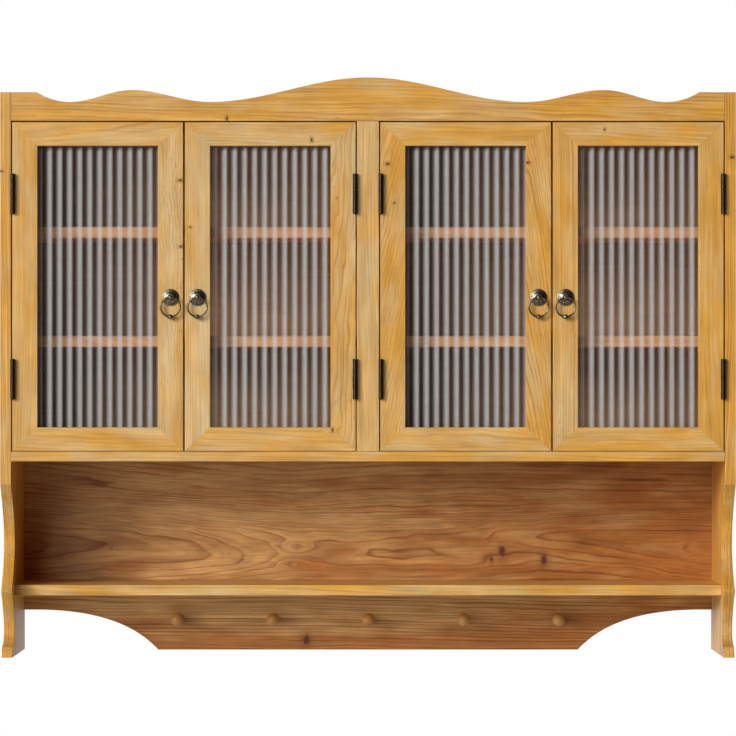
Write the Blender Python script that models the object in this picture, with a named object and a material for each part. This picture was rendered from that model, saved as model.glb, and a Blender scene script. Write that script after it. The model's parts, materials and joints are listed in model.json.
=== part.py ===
"""Rustic pine wall cabinet: two pairs of glazed doors over a display shelf and a peg rail.

Metres, +Z up. The front faces -Y and the wall is the plane y = 0. Inside the file, heights are
measured from the underside of the side panels; the empty "cabinet" then lowers everything so that
the origin is the middle of the hanging rail's back face, where the cabinet meets its wall.
"""

import math

import bmesh
import bpy
from mathutils import Matrix, Vector
from mathutils.geometry import interpolate_bezier

# Clearances
GAP = 0.0003
CUT_PAST = 0.003

# Overall sizes and heights
WIDTH = 1.200
DEPTH = 0.250
DISPLAY_SHELF_TOP = 0.1175
DISPLAY_CLEAR_HEIGHT = 0.2043
OPENING_HEIGHT = 0.539

# Board thicknesses
SIDE_THICKNESS = 0.018
TOP_THICKNESS = 0.018
BOTTOM_THICKNESS = 0.0162
BACK_THICKNESS = 0.012
PARTITION_THICKNESS = 0.018
CENTRE_STILE_THICKNESS = 0.018
CENTRE_STILE_WIDTH = 0.036
CORNICE_THICKNESS = 0.018
DISPLAY_SHELF_THICKNESS = 0.0173
INNER_SHELF_THICKNESS = 0.0175
RAIL_THICKNESS = 0.018
RAIL_HEIGHT = 0.028

# Housings that hold the shelves and panels
HOUSING_DEPTH = 0.006
HOUSING_STOP = 0.015

# Front edge of the side panels below the doors, as set-backs from the front plane
COVE_START_DROP = 0.038
CREST_SETBACK = 0.015
FOOT_CORNER_SETBACK = 0.030
FOOT_SETBACK = 0.024
FOOT_HEIGHT = 0.017
UPPER_COVE_START_HANDLE = (0.088, -0.078)
UPPER_COVE_END_HANDLE = (0.071, 0.0635)
LOWER_COVE_START_HANDLE = (0.035, -0.030)
LOWER_COVE_END_HANDLE = (0.068, 0.013)
COVE_STEPS = 14

# Wavy top edge of the cornice: rises above the door opening, and runs in from each end
CORNICE_END_RISE = 0.047
CORNICE_DIP_RISE = 0.031
CORNICE_HUMP_RISE = 0.0505
CORNICE_PEAK_RISE = 0.071
CORNICE_END_FLAT = 0.042
CORNICE_SCOOP_RUN = 0.054
CORNICE_HUMP_RUN = 0.101
CORNICE_VALLEY_RUN = 0.127
WAVE_STEPS = 8
SCOOP_STEPS = 5

# Peg rail under the display shelf, with an arch cut from each end
ARCH_HEIGHT = 0.0677
ARCH_FLAT = 0.020
ARCH_RUN = 0.207
ARCH_LEVEL_HANDLE = 0.140
ARCH_CORNER_HANDLE = 0.020
ARCH_STEPS = 12
PEG_COUNT = 5
PEG_SPACING = 0.1606
PEG_HEIGHT = 0.0524
PEG_TENON_RADIUS = 0.005
PEG_NECK_RADIUS = 0.006
PEG_SHOULDER_RADIUS = 0.0085
PEG_SHOULDER_LENGTH = 0.005
PEG_HEAD_RADIUS = 0.0106
PEG_LENGTH = 0.046
PEG_SIDES = 14
PEG_HEAD_STEPS = 5

# Display shelf and the shelves behind the doors
DISPLAY_SHELF_SETBACK = 0.063
INNER_SHELF_SETBACK = 0.045
LOWER_SHELF_RISE = 0.189
UPPER_SHELF_RISE = 0.368

# Hanging rail
RAIL_HOLE_RADIUS = 0.003
RAIL_HOLE_SPACING = 0.800
HOLE_SIDES = 16

# Doors
DOOR_THICKNESS = 0.020
DOOR_STILE_WIDTH = 0.041
DOOR_RAIL_WIDTH = 0.0385
DOOR_TOP_GAP = 0.002
DOOR_BOTTOM_GAP = 0.0008
HINGE_GAP = 0.002
MEETING_GAP = 0.003
REBATE_WIDTH = 0.008
LIP_THICKNESS = 0.009

# Reeded glass
GLASS_THICKNESS = 0.0055
GLASS_PLAY = 0.0005
REED_RISE = 0.0025
REED_PITCH = 0.0165
REED_STEPS = 6

# Butt hinges
HINGE_LENGTH = 0.066
HINGE_END_DISTANCE = 0.084
AXIS_INSET = 0.001
BARREL_RADIUS = 0.004
PIN_RADIUS = 0.002
LEAF_WIDTH = 0.016
LEAF_THICKNESS = 0.0012
LEAF_CLEARANCE = 0.001
KNUCKLE_COUNT = 5
BARREL_SIDES = 12

# Ring pulls
PULL_DROP = 0.01785
ROSETTE_RADIUS = 0.014
ROSETTE_RIM = 0.0018
ROSETTE_STEP = 0.0026
ROSETTE_RIM_WIDTH = 0.0035
ROSETTE_GROOVE_WIDTH = 0.001
ROSETTE_CROWN = 0.0046
ROSETTE_CROWN_RADIUS = 0.0065
NECK_RADIUS = 0.003
BOSS_RADIUS = 0.004
EYE_STANDOFF = 0.0078
EYE_RADIUS = 0.0022
SHANK_RADIUS = 0.002
SHANK_LENGTH = 0.012
RING_RADIUS = 0.0158
WIRE_RADIUS = 0.0016
BEAD_RADIUS = 0.004
PULL_SIDES = 16
BOSS_STEPS = 5
RING_SIDES = 24
WIRE_SIDES = 8
BEAD_SIDES = 10

# Magnetic catches and their strike plates
STRIKE_WIDTH = 0.024
STRIKE_HEIGHT = 0.014
STRIKE_THICKNESS = 0.0012
STRIKE_INSET = 0.004
CATCH_HEIGHT = 0.018
CATCH_DEPTH = 0.015
CATCH_EAR_WIDTH = 0.009
CATCH_EAR_THICKNESS = 0.0025

# Heights and widths that follow from the sizes above
INNER_WIDTH = WIDTH - 2 * SIDE_THICKNESS
TONGUE_REACH = INNER_WIDTH / 2 + HOUSING_DEPTH - GAP
FRONT = -DEPTH
DISPLAY_SHELF_UNDERSIDE = DISPLAY_SHELF_TOP - DISPLAY_SHELF_THICKNESS
BOTTOM_UNDERSIDE = DISPLAY_SHELF_TOP + DISPLAY_CLEAR_HEIGHT
BAY_FLOOR = BOTTOM_UNDERSIDE + BOTTOM_THICKNESS
OPENING_TOP = BAY_FLOOR + OPENING_HEIGHT
TOP_PANEL_TOP = OPENING_TOP + TOP_THICKNESS
SIDE_HEIGHT = OPENING_TOP + CORNICE_END_RISE
RAIL_BOTTOM = TOP_PANEL_TOP + GAP
HANG_HEIGHT = RAIL_BOTTOM + RAIL_HEIGHT / 2
INNER_SHELF_TOPS = {"lower": BAY_FLOOR + LOWER_SHELF_RISE, "upper": BAY_FLOOR + UPPER_SHELF_RISE}
PARTITION_FRONT = FRONT + CENTRE_STILE_THICKNESS + GAP
BACKS_FRONT = -BACK_THICKNESS

DOOR_BOTTOM = BAY_FLOOR + DOOR_BOTTOM_GAP
DOOR_TOP = OPENING_TOP - DOOR_TOP_GAP
DOOR_WIDTH = ((INNER_WIDTH - CENTRE_STILE_WIDTH) / 2 - 2 * HINGE_GAP - MEETING_GAP) / 2
WINDOW_WIDTH = DOOR_WIDTH - 2 * DOOR_STILE_WIDTH
WINDOW_BOTTOM = DOOR_BOTTOM + DOOR_RAIL_WIDTH
WINDOW_TOP = DOOR_TOP - DOOR_RAIL_WIDTH
HINGE_BOTTOMS = {
    "lower": DOOR_BOTTOM + HINGE_END_DISTANCE,
    "upper": DOOR_TOP - HINGE_END_DISTANCE - HINGE_LENGTH,
}
AXIS_Y = FRONT - BARREL_RADIUS - GAP
LEAF_PROUD = (HINGE_GAP - LEAF_CLEARANCE) / 2
MORTISE_DEPTH = LEAF_THICKNESS - LEAF_PROUD + GAP
PULL_HEIGHT = (DOOR_BOTTOM + DOOR_TOP) / 2 - PULL_DROP

# Each door's name, the x of its hinged edge, and +1 where it reaches to the right of its hinges
DOORS = (
    ("door_1", -INNER_WIDTH / 2 + HINGE_GAP, 1),
    ("door_2", -CENTRE_STILE_WIDTH / 2 - HINGE_GAP, -1),
    ("door_3", CENTRE_STILE_WIDTH / 2 + HINGE_GAP, 1),
    ("door_4", INNER_WIDTH / 2 - HINGE_GAP, -1),
)


def clear_scene():
    for old in list(bpy.data.objects):
        bpy.data.objects.remove(old)


def make_material(name, colour, roughness, metallic=0.0, transmission=0.0):
    material = bpy.data.materials.new(name)
    material.use_nodes = True
    shader = material.node_tree.nodes["Principled BSDF"]
    shader.inputs["Base Color"].default_value = (*colour, 1.0)
    shader.inputs["Roughness"].default_value = roughness
    shader.inputs["Metallic"].default_value = metallic
    shader.inputs["Transmission Weight"].default_value = transmission
    return material


def make_empty(name, parent, location):
    empty = bpy.data.objects.new(name, None)
    bpy.context.scene.collection.objects.link(empty)
    empty.parent = parent
    empty.location = location
    return empty


def add_box(mesh, low, high):
    """Add a box between two opposite corners, given in either order."""
    middle = [(a + b) / 2 for a, b in zip(low, high)]
    size = [abs(b - a) for a, b in zip(low, high)]
    placed = Matrix.Translation(middle) @ Matrix.Diagonal((*size, 1.0))
    bmesh.ops.create_cube(mesh, size=1.0, matrix=placed)


def add_prism(mesh, outline, axis, start, end):
    """Extrude a closed outline of (a, b) points along the X, Y or Z axis."""
    spot = {"X": (2, 0, 1), "Y": (0, 2, 1), "Z": (0, 1, 2)}[axis]
    corners = []
    for a, b in outline:
        values = (a, b, start)
        corners.append(mesh.verts.new([values[index] for index in spot]))
    run = Vector([end - start if letter == axis else 0.0 for letter in "XYZ"])
    grown = bmesh.ops.extrude_face_region(mesh, geom=[mesh.faces.new(corners)])
    moved = [item for item in grown["geom"] if isinstance(item, bmesh.types.BMVert)]
    bmesh.ops.translate(mesh, verts=moved, vec=run)


def add_turned(mesh, profile, sides, along, closed=False):
    """Spin a profile of (radius, distance) points about an axis through the origin."""
    along = Vector(along)
    outward = Vector((1.0, 0.0, 0.0))
    line = [mesh.verts.new(outward * radius + along * distance) for radius, distance in profile]
    edges = [mesh.edges.new(pair) for pair in zip(line, line[1:])]
    if closed:
        edges.append(mesh.edges.new((line[-1], line[0])))
    bmesh.ops.spin(
        mesh,
        geom=line + edges,
        cent=(0.0, 0.0, 0.0),
        axis=along,
        angle=math.tau,
        steps=sides,
        use_merge=True,
    )
    bmesh.ops.remove_doubles(mesh, verts=mesh.verts, dist=1e-6)


def add_rod(mesh, centre, along, radius, length, sides):
    """Add a cylinder about a centre point, along a direction."""
    turn = Vector((0.0, 0.0, 1.0)).rotation_difference(Vector(along)).to_matrix().to_4x4()
    bmesh.ops.create_cone(
        mesh,
        cap_ends=True,
        segments=sides,
        radius1=radius,
        radius2=radius,
        depth=length,
        matrix=Matrix.Translation(centre) @ turn,
    )


def new_object(name, mesh, parent, material=None, location=(0.0, 0.0, 0.0)):
    bmesh.ops.recalc_face_normals(mesh, faces=mesh.faces)
    data = bpy.data.meshes.new(name)
    mesh.to_mesh(data)
    mesh.free()
    if material:
        data.materials.append(material)
    item = bpy.data.objects.new(name, data)
    bpy.context.scene.collection.objects.link(item)
    item.parent = parent
    item.location = location
    return item


def box_object(name, low, high, parent, material):
    mesh = bmesh.new()
    add_box(mesh, low, high)
    return new_object(name, mesh, parent, material)


def combine(target, name, mesh, operation="DIFFERENCE"):
    """Cut a hidden helper shape out of an object, or join it on."""
    helper = new_object(name, mesh, target.parent, None, target.location)
    helper.hide_render = True
    helper.display_type = "WIRE"
    step = target.modifiers.new(name, "BOOLEAN")
    step.operation = operation
    step.solver = "EXACT"
    step.object = helper


def cut_boxes(target, name, boxes):
    mesh = bmesh.new()
    for low, high in boxes:
        add_box(mesh, low, high)
    combine(target, name, mesh)


def smooth(item):
    item.data.shade_smooth()
    item.data.set_sharp_from_angle(angle=math.radians(40))


def bezier_points(start, start_handle, end_handle, end, steps):
    """Points of one curve, whose handles are given relative to its ends."""
    first = Vector((*start, 0.0))
    last = Vector((*end, 0.0))
    first_pull = first + Vector((*start_handle, 0.0))
    last_pull = last + Vector((*end_handle, 0.0))
    curve = interpolate_bezier(first, first_pull, last_pull, last, steps + 1)
    return [(point.x, point.y) for point in curve]


def tangent_arc(start, end, steps):
    """Points of the arc that leaves its start level and bends up or down to its end."""
    run = abs(end[0] - start[0])
    rise = abs(end[1] - start[1])
    run_sign = math.copysign(1.0, end[0] - start[0])
    rise_sign = math.copysign(1.0, end[1] - start[1])
    radius = (run * run + rise * rise) / (2 * rise)
    sweep = math.atan2(run, radius - rise)
    points = []
    for step in range(steps + 1):
        angle = sweep * step / steps
        x = start[0] + run_sign * radius * math.sin(angle)
        z = start[1] + rise_sign * radius * (1 - math.cos(angle))
        points.append((x, z))
    return points


def wave(start, end, steps):
    """Points of half a cosine wave between two level ends."""
    points = []
    for step in range(steps + 1):
        share = step / steps
        height = start[1] + (end[1] - start[1]) * (1 - math.cos(math.pi * share)) / 2
        points.append((start[0] + (end[0] - start[0]) * share, height))
    return points


def ball_points(radius, centre, neck_angle, steps):
    """Turned outline of a ball, from the angle where its neck meets it to its tip."""
    points = []
    for step in range(steps):
        angle = (math.pi - neck_angle) * (1 - step / steps)
        points.append((radius * math.sin(angle), centre + radius * math.cos(angle)))
    return points + [(0.0, centre + radius)]


def mirrored(half):
    """A half outline that starts on the centre line, with its mirror image ahead of it."""
    return [(-x, z) for x, z in reversed(half)] + half[1:]


def side_profile():
    """Outline of a side panel in Y and Z, with two coves below the doors."""
    start = (0.0, BOTTOM_UNDERSIDE - COVE_START_DROP)
    crest = (CREST_SETBACK, DISPLAY_SHELF_TOP - DISPLAY_SHELF_THICKNESS / 2)
    foot = (FOOT_CORNER_SETBACK, FOOT_HEIGHT)
    upper = bezier_points(start, UPPER_COVE_START_HANDLE, UPPER_COVE_END_HANDLE, crest, COVE_STEPS)
    lower = bezier_points(crest, LOWER_COVE_START_HANDLE, LOWER_COVE_END_HANDLE, foot, COVE_STEPS)
    edge = upper + lower[1:] + [(FOOT_SETBACK, 0.0)]
    back = [(0.0, 0.0), (0.0, SIDE_HEIGHT), (FRONT, SIDE_HEIGHT)]
    return back + [(FRONT + setback, height) for setback, height in edge]


def make_side_panel(name, side, cabinet, material):
    outer = side * WIDTH / 2
    inner = side * INNER_WIDTH / 2
    floor_of_housing = inner + side * HOUSING_DEPTH
    open_face = inner - side * CUT_PAST
    mesh = bmesh.new()
    add_prism(mesh, side_profile(), "X", outer, inner)
    panel = new_object(name, mesh, cabinet, material)

    shelves = [
        (FRONT + CORNICE_THICKNESS, OPENING_TOP, TOP_PANEL_TOP),
        (FRONT + HOUSING_STOP - GAP, BOTTOM_UNDERSIDE, BAY_FLOOR),
        (FRONT + DISPLAY_SHELF_SETBACK + HOUSING_STOP - GAP, DISPLAY_SHELF_UNDERSIDE, DISPLAY_SHELF_TOP),
    ]
    for top in INNER_SHELF_TOPS.values():
        shelves.append((FRONT + INNER_SHELF_SETBACK - GAP, top - INNER_SHELF_THICKNESS, top))
    housings = []
    for front, low, high in shelves:
        housings.append(((open_face, front, low - GAP), (floor_of_housing, CUT_PAST, high + GAP)))
    cut_boxes(panel, name + "_housings", housings)

    rebate_low = (open_face, BACKS_FRONT - GAP, ARCH_HEIGHT - GAP)
    rebate_high = (floor_of_housing, CUT_PAST, OPENING_TOP)
    cut_boxes(panel, name + "_rebate", [(rebate_low, rebate_high)])
    cut_boxes(panel, name + "_mortises", hinge_seats(inner, side, FRONT))


def hinge_seats(face, into, front):
    """Shallow seats for the hinge leaves, cut from an edge face towards +X or -X."""
    boxes = []
    for low in HINGE_BOTTOMS.values():
        boxes.append((
            (face - into * CUT_PAST, front - CUT_PAST, low - GAP),
            (face + into * MORTISE_DEPTH, front + LEAF_WIDTH + GAP, low + HINGE_LENGTH + GAP),
        ))
    return boxes


def make_cornice(cabinet, material):
    end = INNER_WIDTH / 2 - GAP
    corner = (INNER_WIDTH / 2 - CORNICE_END_FLAT, OPENING_TOP + CORNICE_END_RISE)
    dip = (corner[0] - CORNICE_SCOOP_RUN, OPENING_TOP + CORNICE_DIP_RISE)
    hump = (dip[0] - CORNICE_HUMP_RUN, OPENING_TOP + CORNICE_HUMP_RISE)
    valley = (hump[0] - CORNICE_VALLEY_RUN, OPENING_TOP + CORNICE_DIP_RISE)
    peak = (0.0, OPENING_TOP + CORNICE_PEAK_RISE)
    half = wave(peak, valley, 2 * WAVE_STEPS)
    half += wave(valley, hump, WAVE_STEPS)[1:]
    half += wave(hump, dip, WAVE_STEPS)[1:]
    half += tangent_arc(dip, corner, SCOOP_STEPS)[1:]
    half += [(end, corner[1]), (end, OPENING_TOP)]
    mesh = bmesh.new()
    add_prism(mesh, mirrored(half), "Y", FRONT, FRONT + CORNICE_THICKNESS - GAP)
    new_object("cornice_board", mesh, cabinet, material)


def partition_housing(low, high):
    return (
        (-PARTITION_THICKNESS / 2 - GAP, PARTITION_FRONT - GAP, low),
        (PARTITION_THICKNESS / 2 + GAP, BACKS_FRONT, high),
    )


def make_top_panel(cabinet, material):
    low = (-TONGUE_REACH, FRONT + CORNICE_THICKNESS + GAP, OPENING_TOP)
    panel = box_object("top_panel", low, (TONGUE_REACH, 0.0, TOP_PANEL_TOP), cabinet, material)
    housing = partition_housing(OPENING_TOP - CUT_PAST, OPENING_TOP + HOUSING_DEPTH)
    cut_boxes(panel, "top_panel_housing", [housing])


def shouldered_board(name, front, low, high, cabinet, material):
    """A board whose housed ends stop short of its front edge, so that no joint shows there."""
    shoulder = INNER_WIDTH / 2 - GAP
    stop = front + HOUSING_STOP
    half = [(0.0, front), (shoulder, front), (shoulder, stop), (TONGUE_REACH, stop), (TONGUE_REACH, 0.0)]
    mesh = bmesh.new()
    add_prism(mesh, mirrored(half), "Z", low, high)
    return new_object(name, mesh, cabinet, material)


def make_bottom_panel(cabinet, material):
    panel = shouldered_board("bottom_panel", FRONT, BOTTOM_UNDERSIDE, BAY_FLOOR, cabinet, material)
    housing = partition_housing(BAY_FLOOR - HOUSING_DEPTH, BAY_FLOOR + CUT_PAST)
    cut_boxes(panel, "bottom_panel_housing", [housing])


def make_display_shelf(cabinet, material):
    front = FRONT + DISPLAY_SHELF_SETBACK
    shouldered_board("display_shelf", front, DISPLAY_SHELF_UNDERSIDE, DISPLAY_SHELF_TOP, cabinet, material)


def make_partition(cabinet, material):
    half = PARTITION_THICKNESS / 2
    tongue = HOUSING_DEPTH - GAP
    low = (-half, PARTITION_FRONT, BAY_FLOOR - tongue)
    high = (half, BACKS_FRONT - GAP, OPENING_TOP + tongue)
    partition = box_object("centre_partition", low, high, cabinet, material)
    front = FRONT + INNER_SHELF_SETBACK - GAP
    housings = []
    for top in INNER_SHELF_TOPS.values():
        for side in (-1, 1):
            housings.append((
                (side * (half - HOUSING_DEPTH), front, top - INNER_SHELF_THICKNESS - GAP),
                (side * (half + CUT_PAST), BACKS_FRONT + CUT_PAST, top + GAP),
            ))
    cut_boxes(partition, "centre_partition_housings", housings)


def make_centre_stile(cabinet, material):
    half = CENTRE_STILE_WIDTH / 2
    low = (-half, FRONT, BAY_FLOOR + GAP)
    high = (half, FRONT + CENTRE_STILE_THICKNESS, OPENING_TOP - GAP)
    stile = box_object("centre_stile", low, high, cabinet, material)
    seats = hinge_seats(-half, 1, FRONT) + hinge_seats(half, -1, FRONT)
    cut_boxes(stile, "centre_stile_mortises", seats)


def make_backs(cabinet, material):
    spans = {
        "upper_back_panel": (BAY_FLOOR + GAP, OPENING_TOP - GAP),
        "middle_back_board": (DISPLAY_SHELF_TOP + GAP, BOTTOM_UNDERSIDE - GAP),
    }
    for name, (low, high) in spans.items():
        box_object(name, (-TONGUE_REACH, BACKS_FRONT, low), (TONGUE_REACH, 0.0, high), cabinet, material)


def make_inner_shelves(cabinet, material):
    wall_end = TONGUE_REACH
    partition_end = PARTITION_THICKNESS / 2 - HOUSING_DEPTH + GAP
    for level, top in INNER_SHELF_TOPS.items():
        for side, word in ((-1, "left"), (1, "right")):
            low = (side * wall_end, FRONT + INNER_SHELF_SETBACK, top - INNER_SHELF_THICKNESS)
            high = (side * partition_end, BACKS_FRONT - GAP, top)
            box_object(f"inner_shelf_{word}_{level}", low, high, cabinet, material)


def make_hanging_rail(cabinet, material):
    end = INNER_WIDTH / 2 - GAP
    low = (-end, -RAIL_THICKNESS, RAIL_BOTTOM)
    rail = box_object("hanging_rail", low, (end, 0.0, RAIL_BOTTOM + RAIL_HEIGHT), cabinet, material)
    mesh = bmesh.new()
    for side in (-1, 1):
        centre = (side * RAIL_HOLE_SPACING / 2, -RAIL_THICKNESS / 2, HANG_HEIGHT)
        add_rod(mesh, centre, (0, 1, 0), RAIL_HOLE_RADIUS, RAIL_THICKNESS + 2 * CUT_PAST, HOLE_SIDES)
    combine(rail, "hanging_rail_holes", mesh)


def peg_places():
    first = -PEG_SPACING * (PEG_COUNT - 1) / 2
    return [first + PEG_SPACING * index for index in range(PEG_COUNT)]


def make_peg_rail(cabinet, material):
    level = (INNER_WIDTH / 2 - ARCH_FLAT, ARCH_HEIGHT)
    corner = (level[0] - ARCH_RUN, 0.0)
    top = DISPLAY_SHELF_UNDERSIDE - GAP
    level_handle = (-ARCH_LEVEL_HANDLE, 0.0)
    corner_handle = (ARCH_CORNER_HANDLE, ARCH_CORNER_HANDLE)
    arch = bezier_points(level, level_handle, corner_handle, corner, ARCH_STEPS)
    half = [(0.0, 0.0)] + arch[::-1] + [(TONGUE_REACH, ARCH_HEIGHT), (TONGUE_REACH, top)]
    mesh = bmesh.new()
    add_prism(mesh, mirrored(half), "Y", BACKS_FRONT, 0.0)
    rail = new_object("peg_rail", mesh, cabinet, material)
    holes = bmesh.new()
    for x in peg_places():
        centre = (x, BACKS_FRONT / 2, PEG_HEIGHT)
        add_rod(holes, centre, (0, 1, 0), PEG_TENON_RADIUS + GAP, BACK_THICKNESS + 2 * CUT_PAST, PEG_SIDES)
    combine(rail, "peg_rail_holes", holes)


def peg_profile():
    """Turned outline from the tenon's end, through the shoulder and neck, to the round head."""
    neck_angle = math.asin(PEG_NECK_RADIUS / PEG_HEAD_RADIUS)
    centre = PEG_LENGTH - PEG_HEAD_RADIUS
    profile = [
        (0.0, -BACK_THICKNESS),
        (PEG_TENON_RADIUS, -BACK_THICKNESS),
        (PEG_TENON_RADIUS, GAP),
        (PEG_SHOULDER_RADIUS, GAP),
        (PEG_SHOULDER_RADIUS, PEG_SHOULDER_LENGTH),
        (PEG_NECK_RADIUS, PEG_SHOULDER_LENGTH + PEG_SHOULDER_RADIUS - PEG_NECK_RADIUS),
    ]
    return profile + ball_points(PEG_HEAD_RADIUS, centre, neck_angle, PEG_HEAD_STEPS)


def make_pegs(cabinet, material):
    for number, x in enumerate(peg_places(), start=1):
        mesh = bmesh.new()
        add_turned(mesh, peg_profile(), PEG_SIDES, (0, -1, 0))
        peg = new_object(f"peg_{number}", mesh, cabinet, material, (x, BACKS_FRONT, PEG_HEIGHT))
        smooth(peg)


def pull_place(reach):
    """Middle of the pull on the door's closing stile, on the front face, in the door's own frame."""
    return (reach * (DOOR_WIDTH - AXIS_INSET - DOOR_STILE_WIDTH / 2), FRONT - AXIS_Y, PULL_HEIGHT)


def make_door_frame(name, reach, door, material):
    """Mitred frame, glued into one piece: window, glass rebate, hinge seats and pull pilot hole."""
    edge = -reach * AXIS_INSET
    far = edge + reach * DOOR_WIDTH
    front = FRONT - AXIS_Y
    back = front + DOOR_THICKNESS
    frame = box_object(name + "_frame", (edge, front, DOOR_BOTTOM), (far, back, DOOR_TOP), door, material)
    near_window = edge + reach * DOOR_STILE_WIDTH
    far_window = far - reach * DOOR_STILE_WIDTH
    window_low = (near_window, front - CUT_PAST, WINDOW_BOTTOM)
    window_high = (far_window, back + CUT_PAST, WINDOW_TOP)
    cut_boxes(frame, name + "_window", [(window_low, window_high)])
    rebate_low = (near_window - reach * REBATE_WIDTH, front + LIP_THICKNESS, WINDOW_BOTTOM - REBATE_WIDTH)
    rebate_high = (far_window + reach * REBATE_WIDTH, back + CUT_PAST, WINDOW_TOP + REBATE_WIDTH)
    cut_boxes(frame, name + "_rebate", [(rebate_low, rebate_high)])
    cut_boxes(frame, name + "_leaf_seats", hinge_seats(edge, reach, front))
    x, y, z = pull_place(reach)
    hole = bmesh.new()
    depth = SHANK_LENGTH + GAP + CUT_PAST
    add_rod(hole, (x, y - CUT_PAST + depth / 2, z), (0, 1, 0), SHANK_RADIUS + GAP, depth, HOLE_SIDES)
    combine(frame, name + "_pull_hole", hole)


def reeded_outline(reach):
    """Plan of a pane: convex reeds on the front, a whole number of them across the window."""
    margin = REBATE_WIDTH - GLASS_PLAY
    window_edge = DOOR_STILE_WIDTH - AXIS_INSET
    reeds = round(WINDOW_WIDTH / REED_PITCH)
    pitch = WINDOW_WIDTH / reeds
    crest = FRONT - AXIS_Y + LIP_THICKNESS + GAP
    stops = [-margin] + [pitch * step / REED_STEPS for step in range(reeds * REED_STEPS + 1)]
    stops.append(WINDOW_WIDTH + margin)
    outline = []
    for stop in stops:
        lift = REED_RISE * abs(math.sin(math.pi * stop / pitch))
        outline.append((reach * (window_edge + stop), crest + REED_RISE - lift))
    back = crest + GLASS_THICKNESS
    outline.append((reach * (window_edge + WINDOW_WIDTH + margin), back))
    outline.append((reach * (window_edge - margin), back))
    return outline


def make_glass(name, reach, door, material):
    margin = REBATE_WIDTH - GLASS_PLAY
    mesh = bmesh.new()
    add_prism(mesh, reeded_outline(reach), "Z", WINDOW_BOTTOM - margin, WINDOW_TOP + margin)
    new_object(name + "_glass", mesh, door, material)


def knuckle_spans():
    """Lower and upper end of each knuckle, measured from the hinge's lower end."""
    length = HINGE_LENGTH / KNUCKLE_COUNT
    return [(length * index, length * (index + 1)) for index in range(KNUCKLE_COUNT)]


def leaf_outline(plate_front, tab_front, spans):
    """A hinge leaf in Y and Z: a plate with a tab in front of it for each of its knuckles."""
    plate_back = plate_front + LEAF_WIDTH - GAP
    outline = [(plate_back, HINGE_LENGTH), (plate_back, 0.0), (plate_front, 0.0)]
    for low, high in spans:
        outline += [(plate_front, low + GAP), (tab_front, low + GAP)]
        outline += [(tab_front, high - GAP), (plate_front, high - GAP)]
    outline.append((plate_front, HINGE_LENGTH))
    return outline


def make_fixed_leaf(name, reach, place, cabinet, material):
    """Leaf on the carcass, with the outer knuckles and the pin, about an axis at its own origin."""
    spans = knuckle_spans()
    own = spans[0::2]
    profile = [(0.0, 0.0)]
    for index, (low, high) in enumerate(spans):
        radius = BARREL_RADIUS if index % 2 == 0 else PIN_RADIUS
        profile += [(radius, low), (radius, high)]
    profile.append((0.0, HINGE_LENGTH))
    mesh = bmesh.new()
    add_turned(mesh, profile, BARREL_SIDES, (0, 0, 1))
    leaf = new_object(name, mesh, cabinet, material, place)
    face = -reach * (AXIS_INSET + HINGE_GAP)
    inner = face + reach * LEAF_PROUD
    plate = bmesh.new()
    outline = leaf_outline(BARREL_RADIUS + 2 * GAP, 0.0, own)
    add_prism(plate, outline, "X", inner - reach * LEAF_THICKNESS, inner)
    combine(leaf, name + "_plate", plate, "UNION")
    smooth(leaf)


def make_door_leaf(name, reach, low_end, door, material):
    """Leaf on the door, with the inner knuckles bored for the pin."""
    own = knuckle_spans()[1::2]
    bore = PIN_RADIUS + GAP
    edge = -reach * AXIS_INSET
    inner = edge - reach * LEAF_PROUD
    plate = bmesh.new()
    tab_front = (bore + BARREL_RADIUS) / 2
    outline = leaf_outline(BARREL_RADIUS + 2 * GAP, tab_front, own)
    add_prism(plate, outline, "X", inner, inner + reach * LEAF_THICKNESS)
    leaf = new_object(name, plate, door, material, (0.0, 0.0, low_end))
    knuckles = bmesh.new()
    for low, high in own:
        ends = (low + GAP, high - GAP)
        profile = [(BARREL_RADIUS, ends[1]), (BARREL_RADIUS, ends[0]), (bore, ends[0]), (bore, ends[1])]
        add_turned(knuckles, profile, BARREL_SIDES, (0, 0, 1), closed=True)
    combine(leaf, name + "_knuckles", knuckles, "UNION")
    smooth(leaf)


def pull_profile():
    """Turned outline of a pull from its screw shank to the round boss that carries the ring."""
    groove = ROSETTE_RADIUS - ROSETTE_RIM_WIDTH - ROSETTE_GROOVE_WIDTH
    neck_angle = math.asin(NECK_RADIUS / BOSS_RADIUS)
    profile = [
        (0.0, -SHANK_LENGTH),
        (SHANK_RADIUS, -SHANK_LENGTH),
        (SHANK_RADIUS, GAP),
        (ROSETTE_RADIUS, GAP),
        (ROSETTE_RADIUS, ROSETTE_RIM),
        (ROSETTE_RADIUS - ROSETTE_RIM_WIDTH / 2, ROSETTE_STEP),
        (ROSETTE_RADIUS - ROSETTE_RIM_WIDTH, ROSETTE_STEP),
        (groove, ROSETTE_RIM),
        (ROSETTE_CROWN_RADIUS, ROSETTE_CROWN),
        (NECK_RADIUS, ROSETTE_CROWN),
    ]
    return profile + ball_points(BOSS_RADIUS, EYE_STANDOFF, neck_angle, BOSS_STEPS)


def make_pull_plate(name, reach, door, material):
    mesh = bmesh.new()
    add_turned(mesh, pull_profile(), PULL_SIDES, (0, -1, 0))
    plate = new_object(name + "_pull_plate", mesh, door, material, pull_place(reach))
    eye = bmesh.new()
    add_rod(eye, (0.0, -EYE_STANDOFF, 0.0), (1, 0, 0), EYE_RADIUS, 2 * BOSS_RADIUS + CUT_PAST, HOLE_SIDES)
    combine(plate, name + "_pull_eye", eye)
    smooth(plate)


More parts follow.
